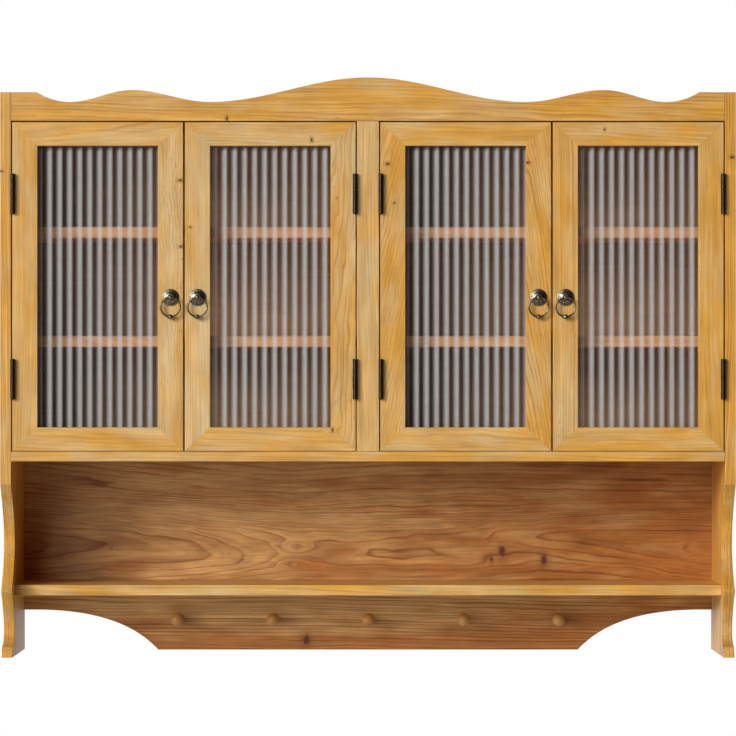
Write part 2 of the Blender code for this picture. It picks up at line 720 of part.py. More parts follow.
def make_pull_ring(name, reach, door, material):
    """Ring that hangs through the pull's eye, with a bead at its lowest point."""
    x, y, z = pull_place(reach)
    pivot = make_empty(name + "_pull_pivot", door, (x, y - EYE_STANDOFF, z))
    mesh = bmesh.new()
    section = []
    for step in range(WIRE_SIDES):
        angle = math.tau * step / WIRE_SIDES
        section.append((RING_RADIUS + WIRE_RADIUS * math.cos(angle), WIRE_RADIUS * math.sin(angle)))
    add_turned(mesh, section, RING_SIDES, (0, -1, 0), closed=True)
    bmesh.ops.translate(mesh, verts=mesh.verts, vec=(0.0, 0.0, -RING_RADIUS))
    ring = new_object(name + "_pull_ring", mesh, pivot, material)
    bead = bmesh.new()
    spot = Matrix.Translation((0.0, 0.0, -2 * RING_RADIUS))
    bmesh.ops.create_uvsphere(
        bead,
        u_segments=BEAD_SIDES,
        v_segments=BEAD_SIDES // 2 + 1,
        radius=BEAD_RADIUS,
        matrix=spot,
    )
    combine(ring, name + "_pull_bead", bead, "UNION")
    smooth(ring)


def make_strike_plate(name, reach, door, material):
    far = reach * (DOOR_WIDTH - AXIS_INSET - STRIKE_INSET)
    back = FRONT - AXIS_Y + DOOR_THICKNESS + GAP
    top = DOOR_TOP - STRIKE_INSET
    low = (far - reach * STRIKE_WIDTH, back, top - STRIKE_HEIGHT)
    high = (far, back + STRIKE_THICKNESS, top)
    box_object(name + "_strike_plate", low, high, door, material)


def make_catch(name, middle, cabinet, material):
    """Double magnetic catch under the top panel, behind the meeting stiles of a pair of doors."""
    half = STRIKE_INSET + STRIKE_WIDTH
    top = OPENING_TOP - GAP
    front = FRONT + DOOR_THICKNESS + STRIKE_THICKNESS + 2 * GAP
    ear = top - CATCH_EAR_THICKNESS
    tip = half + CATCH_EAR_WIDTH
    outline = [(half, top - CATCH_HEIGHT), (half, ear), (tip, ear), (tip, top)]
    whole = outline + [(-x, z) for x, z in reversed(outline)]
    mesh = bmesh.new()
    add_prism(mesh, [(middle + x, z) for x, z in whole], "Y", front, front + CATCH_DEPTH)
    new_object(name, mesh, cabinet, material)


def make_door(name, hinge_edge, reach, cabinet, materials):
    axis_x = hinge_edge + reach * AXIS_INSET
    door = make_empty(name, cabinet, (axis_x, AXIS_Y, 0.0))
    make_door_frame(name, reach, door, materials["door_pine"])
    make_glass(name, reach, door, materials["reeded_glass"])
    for level, low in HINGE_BOTTOMS.items():
        place = (axis_x, AXIS_Y, low)
        make_fixed_leaf(f"{name}_{level}_hinge_fixed_leaf", reach, place, cabinet, materials["hinge_bronze"])
        make_door_leaf(f"{name}_{level}_hinge_door_leaf", reach, low, door, materials["hinge_bronze"])
    make_pull_plate(name, reach, door, materials["pull_bronze"])
    make_pull_ring(name, reach, door, materials["pull_bronze"])
    make_strike_plate(name, reach, door, materials["strike_steel"])


def make_materials():
    return {
        "carcass_pine": make_material("carcass_pine", (0.60, 0.36, 0.11), 0.45),
        "door_pine": make_material("door_pine", (0.62, 0.39, 0.14), 0.42),
        "back_pine": make_material("back_pine", (0.52, 0.29, 0.10), 0.50),
        "reeded_glass": make_material("reeded_glass", (0.85, 0.86, 0.86), 0.08, 0.0, 0.9),
        "hinge_bronze": make_material("hinge_bronze", (0.020, 0.016, 0.011), 0.45, 0.8),
        "pull_bronze": make_material("pull_bronze", (0.13, 0.10, 0.06), 0.40, 0.9),
        "strike_steel": make_material("strike_steel", (0.55, 0.55, 0.53), 0.35, 1.0),
        "catch_plastic": make_material("catch_plastic", (0.09, 0.055, 0.03), 0.5),
    }


def main():
    clear_scene()
    materials = make_materials()
    pine = materials["carcass_pine"]
    cabinet = make_empty("cabinet", None, (0.0, 0.0, -HANG_HEIGHT))
    make_side_panel("side_panel_left", -1, cabinet, pine)
    make_side_panel("side_panel_right", 1, cabinet, pine)
    make_cornice(cabinet, pine)
    make_top_panel(cabinet, pine)
    make_bottom_panel(cabinet, pine)
    make_partition(cabinet, pine)
    make_centre_stile(cabinet, pine)
    make_display_shelf(cabinet, pine)
    make_inner_shelves(cabinet, pine)
    make_hanging_rail(cabinet, pine)
    make_backs(cabinet, materials["back_pine"])
    make_peg_rail(cabinet, materials["back_pine"])
    make_pegs(cabinet, materials["door_pine"])
    for name, hinge_edge, reach in DOORS:
        make_door(name, hinge_edge, reach, cabinet, materials)
    bay_middle = (INNER_WIDTH + CENTRE_STILE_WIDTH) / 4
    make_catch("magnetic_catch_left", -bay_middle, cabinet, materials["catch_plastic"])
    make_catch("magnetic_catch_right", bay_middle, cabinet, materials["catch_plastic"])


main()
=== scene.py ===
"""Looks of the pine wall cabinet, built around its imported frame.

Metres, +Z up, in the frame's own axes: the front faces -Y and the wall is the plane y = 0.
"""

import json
import math
import random

import bmesh
import bpy
import numpy as np
from mathutils import Matrix, Vector
from mathutils.geometry import interpolate_bezier


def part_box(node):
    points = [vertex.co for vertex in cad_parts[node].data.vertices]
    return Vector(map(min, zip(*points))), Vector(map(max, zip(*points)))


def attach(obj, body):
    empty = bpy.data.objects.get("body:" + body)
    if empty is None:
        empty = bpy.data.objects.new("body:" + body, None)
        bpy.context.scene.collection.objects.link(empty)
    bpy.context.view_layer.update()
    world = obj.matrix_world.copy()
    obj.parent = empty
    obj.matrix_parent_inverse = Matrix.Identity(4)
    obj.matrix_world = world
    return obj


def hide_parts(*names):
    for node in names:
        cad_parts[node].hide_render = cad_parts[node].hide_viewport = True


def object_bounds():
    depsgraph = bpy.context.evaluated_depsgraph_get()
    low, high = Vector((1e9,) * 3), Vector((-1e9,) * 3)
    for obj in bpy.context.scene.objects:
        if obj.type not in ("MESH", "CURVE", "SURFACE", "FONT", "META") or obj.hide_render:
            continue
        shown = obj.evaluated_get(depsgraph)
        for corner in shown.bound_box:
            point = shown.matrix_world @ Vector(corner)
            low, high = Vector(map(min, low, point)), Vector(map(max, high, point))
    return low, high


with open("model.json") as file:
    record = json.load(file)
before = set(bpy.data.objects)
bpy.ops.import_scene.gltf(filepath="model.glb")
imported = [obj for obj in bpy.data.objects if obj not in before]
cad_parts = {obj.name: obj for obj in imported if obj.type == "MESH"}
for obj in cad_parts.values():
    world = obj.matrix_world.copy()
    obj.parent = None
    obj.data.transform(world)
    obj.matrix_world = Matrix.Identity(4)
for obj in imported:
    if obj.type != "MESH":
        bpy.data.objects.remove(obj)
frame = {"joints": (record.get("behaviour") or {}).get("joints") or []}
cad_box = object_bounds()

# The photograph's frame, and where the camera stands
PICTURE_PIXELS = 736
HORIZON_PIXEL = 411
FOOT_PIXEL = 658.8
CAMERA_DISTANCE = 6.17
SENSOR_WIDTH = 36.0

# Light and stage: each soft light by its bearing left of the camera and its height, both in degrees,
# its width over its distance, and how brightly it shows a white card that faces it
LIGHT_DISTANCE = 40.0
LIGHTS = {
    "key": (47.0, 17.0, 0.35, 0.60),
    "fill": (33.0, 13.0, 0.95, 0.66),
}
AMBIENT = 0.02
BACKDROP = 0.75
ROOM_TINT = (0.86, 0.96, 1.10, 1.0)
WHITE = (1.0, 1.0, 1.0, 1.0)
FLOOR_DROP = 1.35
FLOOR_WIDTH = 9.0
FLOOR_THICKNESS = 0.02
FLOOR_TONES = ((0.74, 0.73, 0.71, 1.0), (0.80, 0.79, 0.77, 1.0))

# Clearance between pieces, and how far a cutter runs past what it cuts
FIT = 0.0002
PAST = 0.004

# Wood: how deep knots run into a board, their colour and that of flecks, and the darkness of a ring
# from its inner to its outer edge
KNOT_DEPTH = 0.030
KNOT_COLOUR = (0.110, 0.019, 0.003, 1.0)
FLECK_COLOUR = (0.26, 0.12, 0.035, 1.0)
LATE_WOOD = ((0.0, 0.30), (0.05, 0.0), (0.56, 0.03), (0.78, 0.20), (0.90, 0.58), (0.96, 1.0), (1.0, 0.30))

# Eased edges of the boards, and the angles in degrees past which an edge is eased or shaded sharp
ARRIS = 0.0011
SMALL_ARRIS = 0.0007
SHARP = 35.0
CREASE = 32.0
METAL_CREASE = 40.0
PEG_CREASE = 50.0

# Holes of the hanging rail
HANGING_HOLE_PLACE = 0.400
HANGING_HOLE_RADIUS = 0.003
SINK_RADIUS = 0.006
HOLE_SIDES = 32

# Height of the pith above the lower edge of the middle back board
HEART_HEIGHT = 0.058

# Side panels: coves of the front edge, as set-backs from the front plane and heights above the foot
COVE_START_HEIGHT = 0.2838
CREST = (0.015, 0.1085)
FOOT_CORNER = (0.030, 0.017)
FOOT_SETBACK = 0.024
UPPER_COVE_HANDLES = ((0.088, -0.078), (0.071, 0.0635))
LOWER_COVE_HANDLES = ((0.035, -0.030), (0.068, 0.013))
COVE_STEPS = 40
HOUSING_STOP = 0.015

# Cornice: rises above the door opening, and runs in from each end
CORNICE_END_RISE = 0.047
CORNICE_DIP_RISE = 0.031
CORNICE_HUMP_RISE = 0.0505
CORNICE_END_FLAT = 0.042
CORNICE_SCOOP_RUN = 0.054
CORNICE_HUMP_RUN = 0.101
CORNICE_VALLEY_RUN = 0.127
WAVE_STEPS = 24

# Peg rail
ARCH_HEIGHT = 0.0677
ARCH_FLAT = 0.020
ARCH_RUN = 0.207
ARCH_HANDLES = ((-0.140, 0.0), (0.020, 0.020))
ARCH_STEPS = 48
PEG_HEIGHT = 0.0524
PEG_TENON_RADIUS = 0.005
PEG_NECK_RADIUS = 0.006
PEG_SHOULDER_RADIUS = 0.0085
PEG_SHOULDER_LENGTH = 0.005
PEG_HEAD_RADIUS = 0.0106
PEG_EASE = 0.0008
PEG_HEAD_STEPS = 14
PEG_SIDES = 40

# Doors
STILE_WIDTH = 0.041
RAIL_WIDTH = 0.0385
REBATE_WIDTH = 0.008
LIP_THICKNESS = 0.009
MITRE_GAP = 0.00004
MITRE_EASE = 0.00012
REED_COUNT = 12
REED_STEPS = 16
REED_RISE = 0.0025
REED_SHIFT = {1: -0.06, 2: 0.20, 3: -0.11, 4: 0.16}

# Glazing beads: width, shares of the width and depth left square, and steps of the round
BEAD_WIDTH = 0.0075
BEAD_FLAT = 0.25
BEAD_WALL = 0.3
BEAD_STEPS = 6

# Hinges, with the screws of a leaf by their shares of its height and of its width
BARREL_RADIUS = 0.004
BARREL_SIDES = 28
PIN_RADIUS = 0.002
KNUCKLES = 5
KNUCKLE_EASE = 0.0004
LEAF_WIDTH = 0.0157
LEAF_THICKNESS = 0.0012
FIXED_LEAF_OFFSET = 0.0037
DOOR_LEAF_OFFSET = 0.0015
MORTISE_DEPTH = 0.0009
HINGE_SCREWS = ((0.16, 0.42), (0.5, 0.62), (0.84, 0.42))

# Slotted screws: radius of the head, and shares of it
SCREW_RADIUS = 0.0026
SCREW_SINK = 0.3
SCREW_RISE = 0.16
SCREW_SLOT = 0.14
SCREW_DOME = 0.96
SCREW_TAPER = 0.9
SLOT_FLARE = 0.014
SCREW_SIDES = 20
SCREW_STEPS = 12

# Ring pulls. The rosette runs from the back of its rim to the neck of its boss, by radius and height;
# the collar of the ring's bead runs from its end, by radius and distance from the bead's middle
PULL_SIDES = 56
SHANK_RADIUS = 0.0019
ROSETTE = (
    (0.0136, FIT), (0.0140, 0.0006), (0.0140, 0.0012), (0.0136, 0.0018), (0.0128, 0.0021),
    (0.0118, 0.0023), (0.0107, 0.0025), (0.0096, 0.0029), (0.0086, 0.0034), (0.0076, 0.0040),
    (0.0066, 0.0045), (0.0056, 0.0049), (0.0047, 0.0051), (0.0040, 0.0049), (0.0034, 0.0048),
    (0.0030, 0.0052),
)
BOSS_RADIUS = 0.004
BOSS_STEPS = 12
EYE_RADIUS = 0.0022
EYE_SIDES = 24
RING_RADIUS = 0.0158
RING_STEPS = 72
WIRE_RADIUS = 0.0016
WIRE_SIDES = 16
COLLAR = (
    (0.0, 0.0058), (0.0019, 0.0058), (0.0025, 0.0053), (0.0025, 0.0046), (0.0020, 0.0042), (0.0022, 0.0035),
)
BALL_RADIUS = 0.004
BALL_SWEEP = math.radians(74)
BALL_STEPS = 6
BALL_SIDES = 32

# Catches and their strike plates, with the poles by their shares of the catch's height
PLATE_CORNER = 0.002
PLATE_EASE = 0.0002
PLATE_SCREW_DEPTH = 0.0004
EAR_WIDTH = 0.009
EAR_THICKNESS = 0.0025
CATCH_EASE = 0.0006
POLE_PROUD = 0.0006
POLE_PLACES = (0.28, 0.52)
POLE_START = 0.006
POLE_MARGIN = 0.002
POLE_DEPTH = 0.004
POLE_THICKNESS = 0.0016

# Places read from the frame, and the words in the names of its pieces
SIDE_LOW, SIDE_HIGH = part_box("side_panel_left")
FRONT = SIDE_LOW.y
UNDERSIDE = SIDE_LOW.z
INNER_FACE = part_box("side_panel_right")[0].x
LEVELS = ("lower", "upper")
SIDES = ("left", "right")
EDGES = (*SIDES, "top", "bottom")
SHELF_NODES = ["inner_shelf_%s_%s" % (side, level) for side in SIDES for level in LEVELS]
DOOR_NUMBERS = (1, 2, 3, 4)
LEFT_HUNG = (1, 3)
JOINTS = {joint["name"]: joint for joint in frame["joints"]}
SCENE = bpy.context.scene

# Directions
ALONG_X = (1.0, 0.0, 0.0)
UP_Z = (0.0, 0.0, 1.0)
DOWN_Z = (0.0, 0.0, -1.0)
OUT_OF_FRONT = (0.0, -1.0, 0.0)

# Ways a board can lie, by its grain and its show face
ACROSS = (ALONG_X, OUT_OF_FRONT)
UPRIGHT = (DOWN_Z, OUT_OF_FRONT)
LEVEL = (ALONG_X, UP_Z)


# Node graphs and materials

class Graph:
    """The nodes of a material or world, with short ways to add one and to feed its sockets."""

    def __init__(self, owner):
        owner.use_nodes = True
        self.owner = owner
        self.tree = owner.node_tree
        self.shader = self.tree.nodes.get("Principled BSDF")

    def feed(self, node, values):
        for key, value in values.items():
            if isinstance(value, bpy.types.NodeSocket):
                self.tree.links.new(value, node.inputs[key])
            else:
                node.inputs[key].default_value = value

    def add(self, kind, values=(), **settings):
        node = self.tree.nodes.new("ShaderNode" + kind)
        for key, value in settings.items():
            setattr(node, key, value)
        self.feed(node, dict(values))
        return node

    def attribute(self, name):
        return self.add("Attribute", attribute_name=name).outputs

    def calc(self, operation, *values):
        return self.add("Math", enumerate(values), operation=operation).outputs[0]

    def plus(self, first, second):
        return self.calc("ADD", first, second)

    def times(self, first, second):
        return self.calc("MULTIPLY", first, second)

    def vector(self, operation, *values):
        node = self.add("VectorMath", enumerate(values), operation=operation)
        return node.outputs["Value" if operation == "LENGTH" else "Vector"]

    def scaled(self, vector, amount):
        node = self.add("VectorMath", {0: vector, "Scale": amount}, operation="SCALE")
        return node.outputs["Vector"]

    def split(self, vector):
        return self.add("SeparateXYZ", {0: vector}).outputs

    def noise(self, vector, stretch, detail=2.0, output="Fac"):
        stretched = self.vector("MULTIPLY", vector, stretch)
        values = {"Vector": stretched, "Scale": 1.0, "Detail": detail}
        return self.add("TexNoise", values).outputs[output]

    def remap(self, value, start, end, low, high, smooth=True):
        values = {"Value": value, "From Min": start, "From Max": end, "To Min": low, "To Max": high}
        kind = "SMOOTHSTEP" if smooth else "LINEAR"
        return self.add("MapRange", values, interpolation_type=kind).outputs[0]

    def blend(self, share, first, second, mode="MIX"):
        node = self.add("Mix", {0: share, 6: first, 7: second}, data_type="RGBA", blend_type=mode)
        return node.outputs[2]

    def ramp(self, value, stops):
        """Grey shades, each at its place from 0 to 1."""
        node = self.add("ValToRGB", {0: value})
        elements = node.color_ramp.elements
        elements[0].position = stops[0][0]
        elements[1].position = stops[-1][0]
        for position, _ in stops[1:-1]:
            elements.new(position)
        for element, (_, shade) in zip(elements, stops):
            element.color = (shade, shade, shade, 1.0)
        return node.outputs[0]

    def bump(self, height, strength, distance):
        values = {"Height": height, "Strength": strength, "Distance": distance}
        self.feed(self.shader, {"Normal": self.add("Bump", values).outputs[0]})


def add_knot(graph, place, ragged, x, y, z, size, upright, bulge=0.5, depth=1.0):
    """The dark heart of a knot with its halo, and how the rings bulge and part round it."""
    offset = graph.vector("SUBTRACT", place, (x, y, z))

    def distance(along, across):
        """Distance from the knot, with its own weights along the board and across it."""
        weights = (across / size, 1.0 / KNOT_DEPTH, along / size)
        weights = weights if upright else weights[::-1]
        return graph.vector("LENGTH", graph.vector("MULTIPLY", offset, weights))

    near = graph.remap(distance(0.3, 1.0), 0.2, 3.4, -0.85 * bulge, 0.0)
    sideways = graph.split(offset)["X" if upright else "Z"]
    parting = {1: graph.times(sideways, near), 2: graph.times(near, -1.6 * size)}
    core = graph.plus(distance(1.0, 0.6), ragged)
    halo = graph.remap(core, 0.5, 2.2, 0.34 * depth, 0.0)
    dark = graph.plus(halo, graph.remap(core, 0.30, 0.90, 0.64 * depth, 0.0))
    return graph.add("CombineXYZ", parting).outputs[0], dark


def make_pine(name, amber, pale, line, ring_width, knots=(), bow_and_dimming=None, crowds=(), fine=0.2):
    """Lacquered pine cut from a round trunk: rings, slow sway, curls, streaks, flecks and a few knots.

    Each board stores in "grain" where its points lay in the trunk, along it, across it and out from
    the pith, and in "board" its paleness, how strongly its rings show, its curliness and its flecks.
    On both sides of an x, a bow brings the pith nearer the face by so much for each metre, and the
    board gets darker by so much for each metre away from that x. Each crowd adds so many rings, or
    takes them away, between two heights above the pith.
    Fine is how far the finest streaks darken and lighten the wood. The first two colours are 8-bit
    screen values.
    """
    graph = Graph(bpy.data.materials.new(name))
    place = graph.add("TexCoord").outputs["Object"]
    grain = graph.attribute("grain")["Vector"]
    board = graph.attribute("board")
    tone, figure, curl = graph.split(board["Color"])

    # Knots, and the bow of the trunk, with the board darker on both sides of its x
    dark = 0.0
    ragged = graph.remap(graph.noise(place, (330.0, 0.0, 330.0)), 0.3, 0.7, -0.22, 0.22, False)
    for knot in knots:
        parting, core = add_knot(graph, place, ragged, *knot)
        grain = graph.vector("ADD", grain, parting)
        dark = graph.calc("MAXIMUM", dark, core)
    if bow_and_dimming:
        run = graph.calc("ABSOLUTE", graph.calc("SUBTRACT", graph.split(place)["X"], bow_and_dimming[0]))
        dip = graph.add("CombineXYZ", {2: graph.times(run, -bow_and_dimming[1])}).outputs[0]
        grain = graph.vector("ADD", grain, dip)
        tone = graph.calc("MULTIPLY_ADD", run, -bow_and_dimming[2], tone)

    def sway(stretch, reach):
        """A slow shift across the trunk."""
        shift = graph.vector("SUBTRACT", graph.noise(grain, stretch, 1.0, "Color"), (0.5, 0.5, 0.5))
        return graph.vector("MULTIPLY", shift, (0.0, reach, reach))

    def vary(stretch, detail, low, high):
        """A value that wanders between two limits."""
        return graph.remap(graph.noise(grain, stretch, detail), 0.3, 0.7, low, high, False)

    # Rings round the pith, with their sway and curls
    bent = graph.vector("ADD", grain, sway((1.6, 9.0, 9.0), 0.034))
    bent = graph.vector("ADD", bent, graph.scaled(sway((15.0, 36.0, 36.0), 0.030), curl))
    from_pith = graph.vector("LENGTH", graph.vector("MULTIPLY", bent, (0.0, 1.0, 1.0)))
    length = graph.split(grain)["X"]
    leaned = graph.calc("MULTIPLY_ADD", length, 0.022, from_pith)
    radius = graph.calc("MULTIPLY_ADD", graph.noise(grain, (7.0, 60.0, 60.0)), 0.0016, leaned)
    ring_place = graph.add("CombineXYZ", {0: radius, 1: length}).outputs[0]
    uneven = graph.noise(ring_place, (75.0, 0.4, 0.0), 1.0)
    turns = graph.calc("MULTIPLY_ADD", uneven, 2.6, graph.calc("DIVIDE", radius, ring_width))
    for start, end, extra in crowds:
        turns = graph.plus(turns, graph.remap(graph.split(bent)["Y"], start, end, 0.0, extra))
    late = graph.ramp(graph.calc("FRACT", turns), LATE_WOOD)
    fade = graph.remap(graph.noise(grain, (4.0, 40.0, 40.0)), 0.32, 0.68, 0.30, 1.0)
    lines = graph.times(graph.times(late, fade), figure)

    # Colour: patches, bands and blotches, then the rings, streaks, haze, flecks and knots
    drift = graph.plus(tone, vary((1.1, 95.0, 95.0), 1.0, -0.12, 0.12))
    cloud = graph.plus(vary((2.6, 20.0, 20.0), 2.0, -0.20, 0.20), vary((10.0, 34.0, 34.0), 3.0, -0.42, 0.42))
    paleness = graph.add("Clamp", {0: graph.plus(drift, cloud)}).outputs[0]
    colour = graph.blend(paleness, from_screen(*amber), from_screen(*pale))
    colour = graph.blend(lines, colour, line, "MULTIPLY")
    streak = graph.noise(ring_place, (520.0, 5.0, 0.0), 3.0)
    fibre = graph.noise(bent, (3.5, 440.0, 440.0))
    shade = graph.times(graph.plus(streak, fibre), 0.5)
    colour = graph.scaled(colour, graph.remap(shade, 0.28, 0.72, 0.97 - fine, 0.97 + fine, False))
    colour = graph.scaled(colour, vary((16.0, 48.0, 48.0), 2.0, 0.88, 1.08))
    cluster = graph.remap(graph.noise(grain, (9.0, 30.0, 30.0), 1.0), 0.48, 0.66, 0.0, 1.0)
    fleck = graph.remap(graph.noise(ring_place, (820.0, 85.0, 0.0), 1.0), 0.62, 0.74, 0.0, 0.8)
    fleck = graph.times(graph.times(fleck, cluster), board["Alpha"])
    colour = graph.blend(fleck, colour, FLECK_COLOUR)
    colour = graph.blend(dark, colour, KNOT_COLOUR)
    graph.feed(graph.shader, {
        "Base Color": colour,
        "Roughness": graph.remap(fibre, 0.3, 0.7, 0.50, 0.38, False),
        "Specular IOR Level": 0.35,
    })
    graph.bump(graph.calc("MULTIPLY_ADD", shade, 0.5, lines), 0.12, 0.0004)
    return graph.owner


def make_reeded_glass():
    """Pressed glass: smooth clear reeds, with a whitish satin haze painted as a highlight on the left
    flank of each reed, where light from the left falls.

    The painted highlight is cut by a painted shadow under the top rail and beside the left stile.
    """
    graph = Graph(bpy.data.materials.new("reeded_glass"))
    reed = graph.attribute("reed")["Fac"]
    # Painted highlight: a whitish haze on the left flank of each reed, where light from the left falls
    turn = graph.times(graph.calc("SUBTRACT", reed, 0.25), math.tau)
    skew = graph.calc("SUBTRACT", 1.0, graph.calc("COSINE", turn))
    crest = graph.calc("COSINE", graph.calc("MULTIPLY_ADD", skew, 0.26, turn))
    painted_highlight = graph.calc("POWER", graph.remap(crest, -1.0, 1.0, 0.0, 1.0, False), 1.4)
    # Painted shadow of the top rail, reaching further down on the left flanks
    depth = graph.calc("MULTIPLY_ADD", graph.calc("SINE", turn), 0.0014, graph.attribute("below")["Fac"])
    painted_highlight = graph.times(painted_highlight, graph.remap(depth, 0.002, 0.0095, 0.35, 1.0))
    # Painted shadow of the left stile over the first reed
    painted_highlight = graph.times(painted_highlight, graph.remap(reed, 0.6, 0.9, 0.5, 1.0))
    cloud = graph.noise(graph.add("TexCoord").outputs["Object"], (9.0, 9.0, 5.0), 1.0)
    graph.feed(graph.shader, {
        "Base Color": graph.blend(cloud, (0.51, 0.50, 0.48, 1.0), (0.56, 0.54, 0.52, 1.0)),
        "Alpha": graph.calc("MULTIPLY_ADD", painted_highlight, 0.37, 0.013),
        "Roughness": graph.remap(cloud, 0.2, 0.8, 0.10, 0.16, False),
        "Specular IOR Level": 0.5,
    })
    return graph.owner


def make_metal(name, dark, bright, roughness, grain_size, polish=0.0):
    """Patinated metal: mottled dark skin, with raised edges rubbed brighter."""
    graph = Graph(bpy.data.materials.new(name))
    place = graph.add("TexCoord").outputs["Object"]
    mottle = graph.noise(place, (1.0 / grain_size,) * 3, 3.0)
    rubbed = graph.remap(graph.add("NewGeometry").outputs["Pointiness"], 0.50, 0.60, 0.0, 0.6)
    share = graph.calc("MULTIPLY_ADD", graph.remap(mottle, 0.40, 0.66, 0.0, 1.0), 0.6, rubbed)
    share = graph.add("Clamp", {0: graph.plus(share, polish)}).outputs[0]
    graph.feed(graph.shader, {
        "Base Color": graph.blend(share, dark, bright),
        "Metallic": 1.0,
        "Roughness": graph.remap(mottle, 0.2, 0.8, roughness + 0.08, roughness - 0.06, False),
    })
    graph.bump(mottle, 0.15, 0.0002)
    return graph.owner


def make_plain(name, dark, bright, roughness, grain_size):
    """A moulded or painted skin: a fine speckle between two close tones."""
    graph = Graph(bpy.data.materials.new(name))
    place = graph.add("TexCoord").outputs["Object"]
    speckle = graph.noise(place, (1.0 / grain_size,) * 3, 4.0)
    graph.feed(graph.shader, {
        "Base Color": graph.blend(speckle, dark, bright),
        "Roughness": graph.remap(speckle, 0.2, 0.8, roughness + 0.06, roughness - 0.06, False),
    })
    graph.bump(speckle, 0.1, grain_size / 10)
    return graph.owner


def from_screen(red, green, blue):
    """A linear colour from its 8-bit screen values."""
    shares = [value / 255 for value in (red, green, blue)]
    linear = [share / 12.92 if share <= 0.04045 else ((share + 0.055) / 1.055) ** 2.4 for share in shares]
    return (*linear, 1.0)


# Meshes

def bridge(mesh, lower, upper):
    """Add a solid between two rings of as many points."""
    made = [mesh.faces.new(lower), mesh.faces.new(upper)]
    for index in range(len(lower)):
        after = (index + 1) % len(lower)
        made.append(mesh.faces.new((lower[index], lower[after], upper[after], upper[index])))
    bmesh.ops.recalc_face_normals(mesh, faces=made)


def add_prism(mesh, outline, axis, start, end):
    """Add a solid whose outline of (a, b) points runs along the X, Y or Z axis."""
    spot = {"X": (2, 0, 1), "Y": (0, 2, 1), "Z": (0, 1, 2)}[axis]
    rings = []
    for place in (start, end):
        rings.append([mesh.verts.new([(a, b, place)[index] for index in spot]) for a, b in outline])
    bridge(mesh, *rings)


def rectangle(low, high):
    """Corners of a rectangle, by the first two measures of its ends."""
    return [(low[0], low[1]), (high[0], low[1]), (high[0], high[1]), (low[0], high[1])]


def add_box(mesh, low, high):
    add_prism(mesh, rectangle(low, high), "Z", low[2], high[2])


def turn_to(along):
    """The turn that brings +Z to a direction."""
    return Vector(UP_Z).rotation_difference(Vector(along)).to_matrix()


def add_lathe(mesh, profile, sides, centre, along, closed=False):
    """Turn a profile of (radius, distance) points about a line through the centre."""
    placed = Matrix.Translation(centre) @ turn_to(along).to_4x4()
    rows = []
    for radius, distance in profile:
        row = []
        for side in range(sides if radius > 0 else 1):
            angle = math.tau * side / sides
            spot = Vector((radius * math.cos(angle), radius * math.sin(angle), distance))
            row.append(mesh.verts.new(placed @ spot))
        rows.append(row)
    made = []
    for lower, upper in zip(rows, rows[1:] + (rows[:1] if closed else [])):
        for side in range(sides):
            after = side + 1
            ring = (lower[side % len(lower)], lower[after % len(lower)],
                    upper[after % len(upper)], upper[side % len(upper)])
            corners = list(dict.fromkeys(ring))
            if len(corners) > 2:
                made.append(mesh.faces.new(corners))
    bmesh.ops.recalc_face_normals(mesh, faces=made)


def rod(radius, start, end):
    """Profile of a plain rod."""
    return [(0.0, start), (radius, start), (radius, end), (0.0, end)]


def ball(radius, centre, neck, steps):
    """Profile of a ball that swells out of a neck."""
    sweep = math.pi - math.asin(neck / radius)
    angles = [sweep * (1 - step / steps) for step in range(steps)]
    points = [(radius * math.sin(angle), centre + radius * math.cos(angle)) for angle in angles]
    return points + [(0.0, centre + radius)]


def boxes(corners):
    """A mesh of boxes, each by its two corners."""
    mesh = bmesh.new()
    for low, high in corners:
        add_box(mesh, low, high)
    return mesh


def turned(profile, sides, centres, along=(0, 1, 0)):
    """A mesh of equal turned pieces."""
    mesh = bmesh.new()
    for centre in centres:
        add_lathe(mesh, profile, sides, centre, along)
    return mesh


def solid(outline, axis, start, end, ease=0.0):
    """A mesh of one prism, whose sharp edges can be rounded."""
    mesh = bmesh.new()
    add_prism(mesh, outline, axis, start, end)
    if ease:
        sharp = [edge for edge in mesh.edges if edge.calc_face_angle(0.0) > math.radians(SHARP)]
        bmesh.ops.bevel(
            mesh, geom=sharp, offset=ease, segments=2, profile=0.5, affect="EDGES", clamp_overlap=True
        )
    return mesh


def fillet(outline, radius, steps=3):
    """Round every corner of a closed outline."""
    points = []
    for index, corner in enumerate(outline):
        middle = Vector(corner)
        before = Vector(outline[index - 1]) - middle
        after = Vector(outline[(index + 1) % len(outline)]) - middle
        start = middle + before.normalized() * radius
        end = middle + after.normalized() * radius
        for step in range(steps + 1):
            share = step / steps
            spot = start * (1 - share) ** 2 + middle * 2 * share * (1 - share) + end * share ** 2
            points.append((spot.x, spot.y))
    return points


def bezier(start, handles, end, steps):
    """Points of one curve, whose handles are given relative to its ends."""
    first = Vector((*start, 0.0))
    last = Vector((*end, 0.0))
    pulls = (first + Vector((*handles[0], 0.0)), last + Vector((*handles[1], 0.0)))
    return [(point.x, point.y) for point in interpolate_bezier(first, *pulls, last, steps + 1)]


def wave(start, end, steps):
    """Points of half a cosine wave between two level ends."""
    points = []
    for step in range(steps + 1):
        share = step / steps
        height = start[1] + (end[1] - start[1]) * (1 - math.cos(math.pi * share)) / 2
        points.append((start[0] + (end[0] - start[0]) * share, height))
    return points


def tangent_arc(start, end, steps):
    """Points of the arc that leaves its start level and bends up or down to its end."""
    run = abs(end[0] - start[0])
    rise = abs(end[1] - start[1])
    radius = (run * run + rise * rise) / (2 * rise)
    sweep = math.atan2(run, radius - rise)
    points = []
    for step in range(steps + 1):
        angle = sweep * step / steps
        x = start[0] + math.copysign(radius * math.sin(angle), end[0] - start[0])
        z = start[1] + math.copysign(radius * (1 - math.cos(angle)), end[1] - start[1])
        points.append((x, z))
    return points


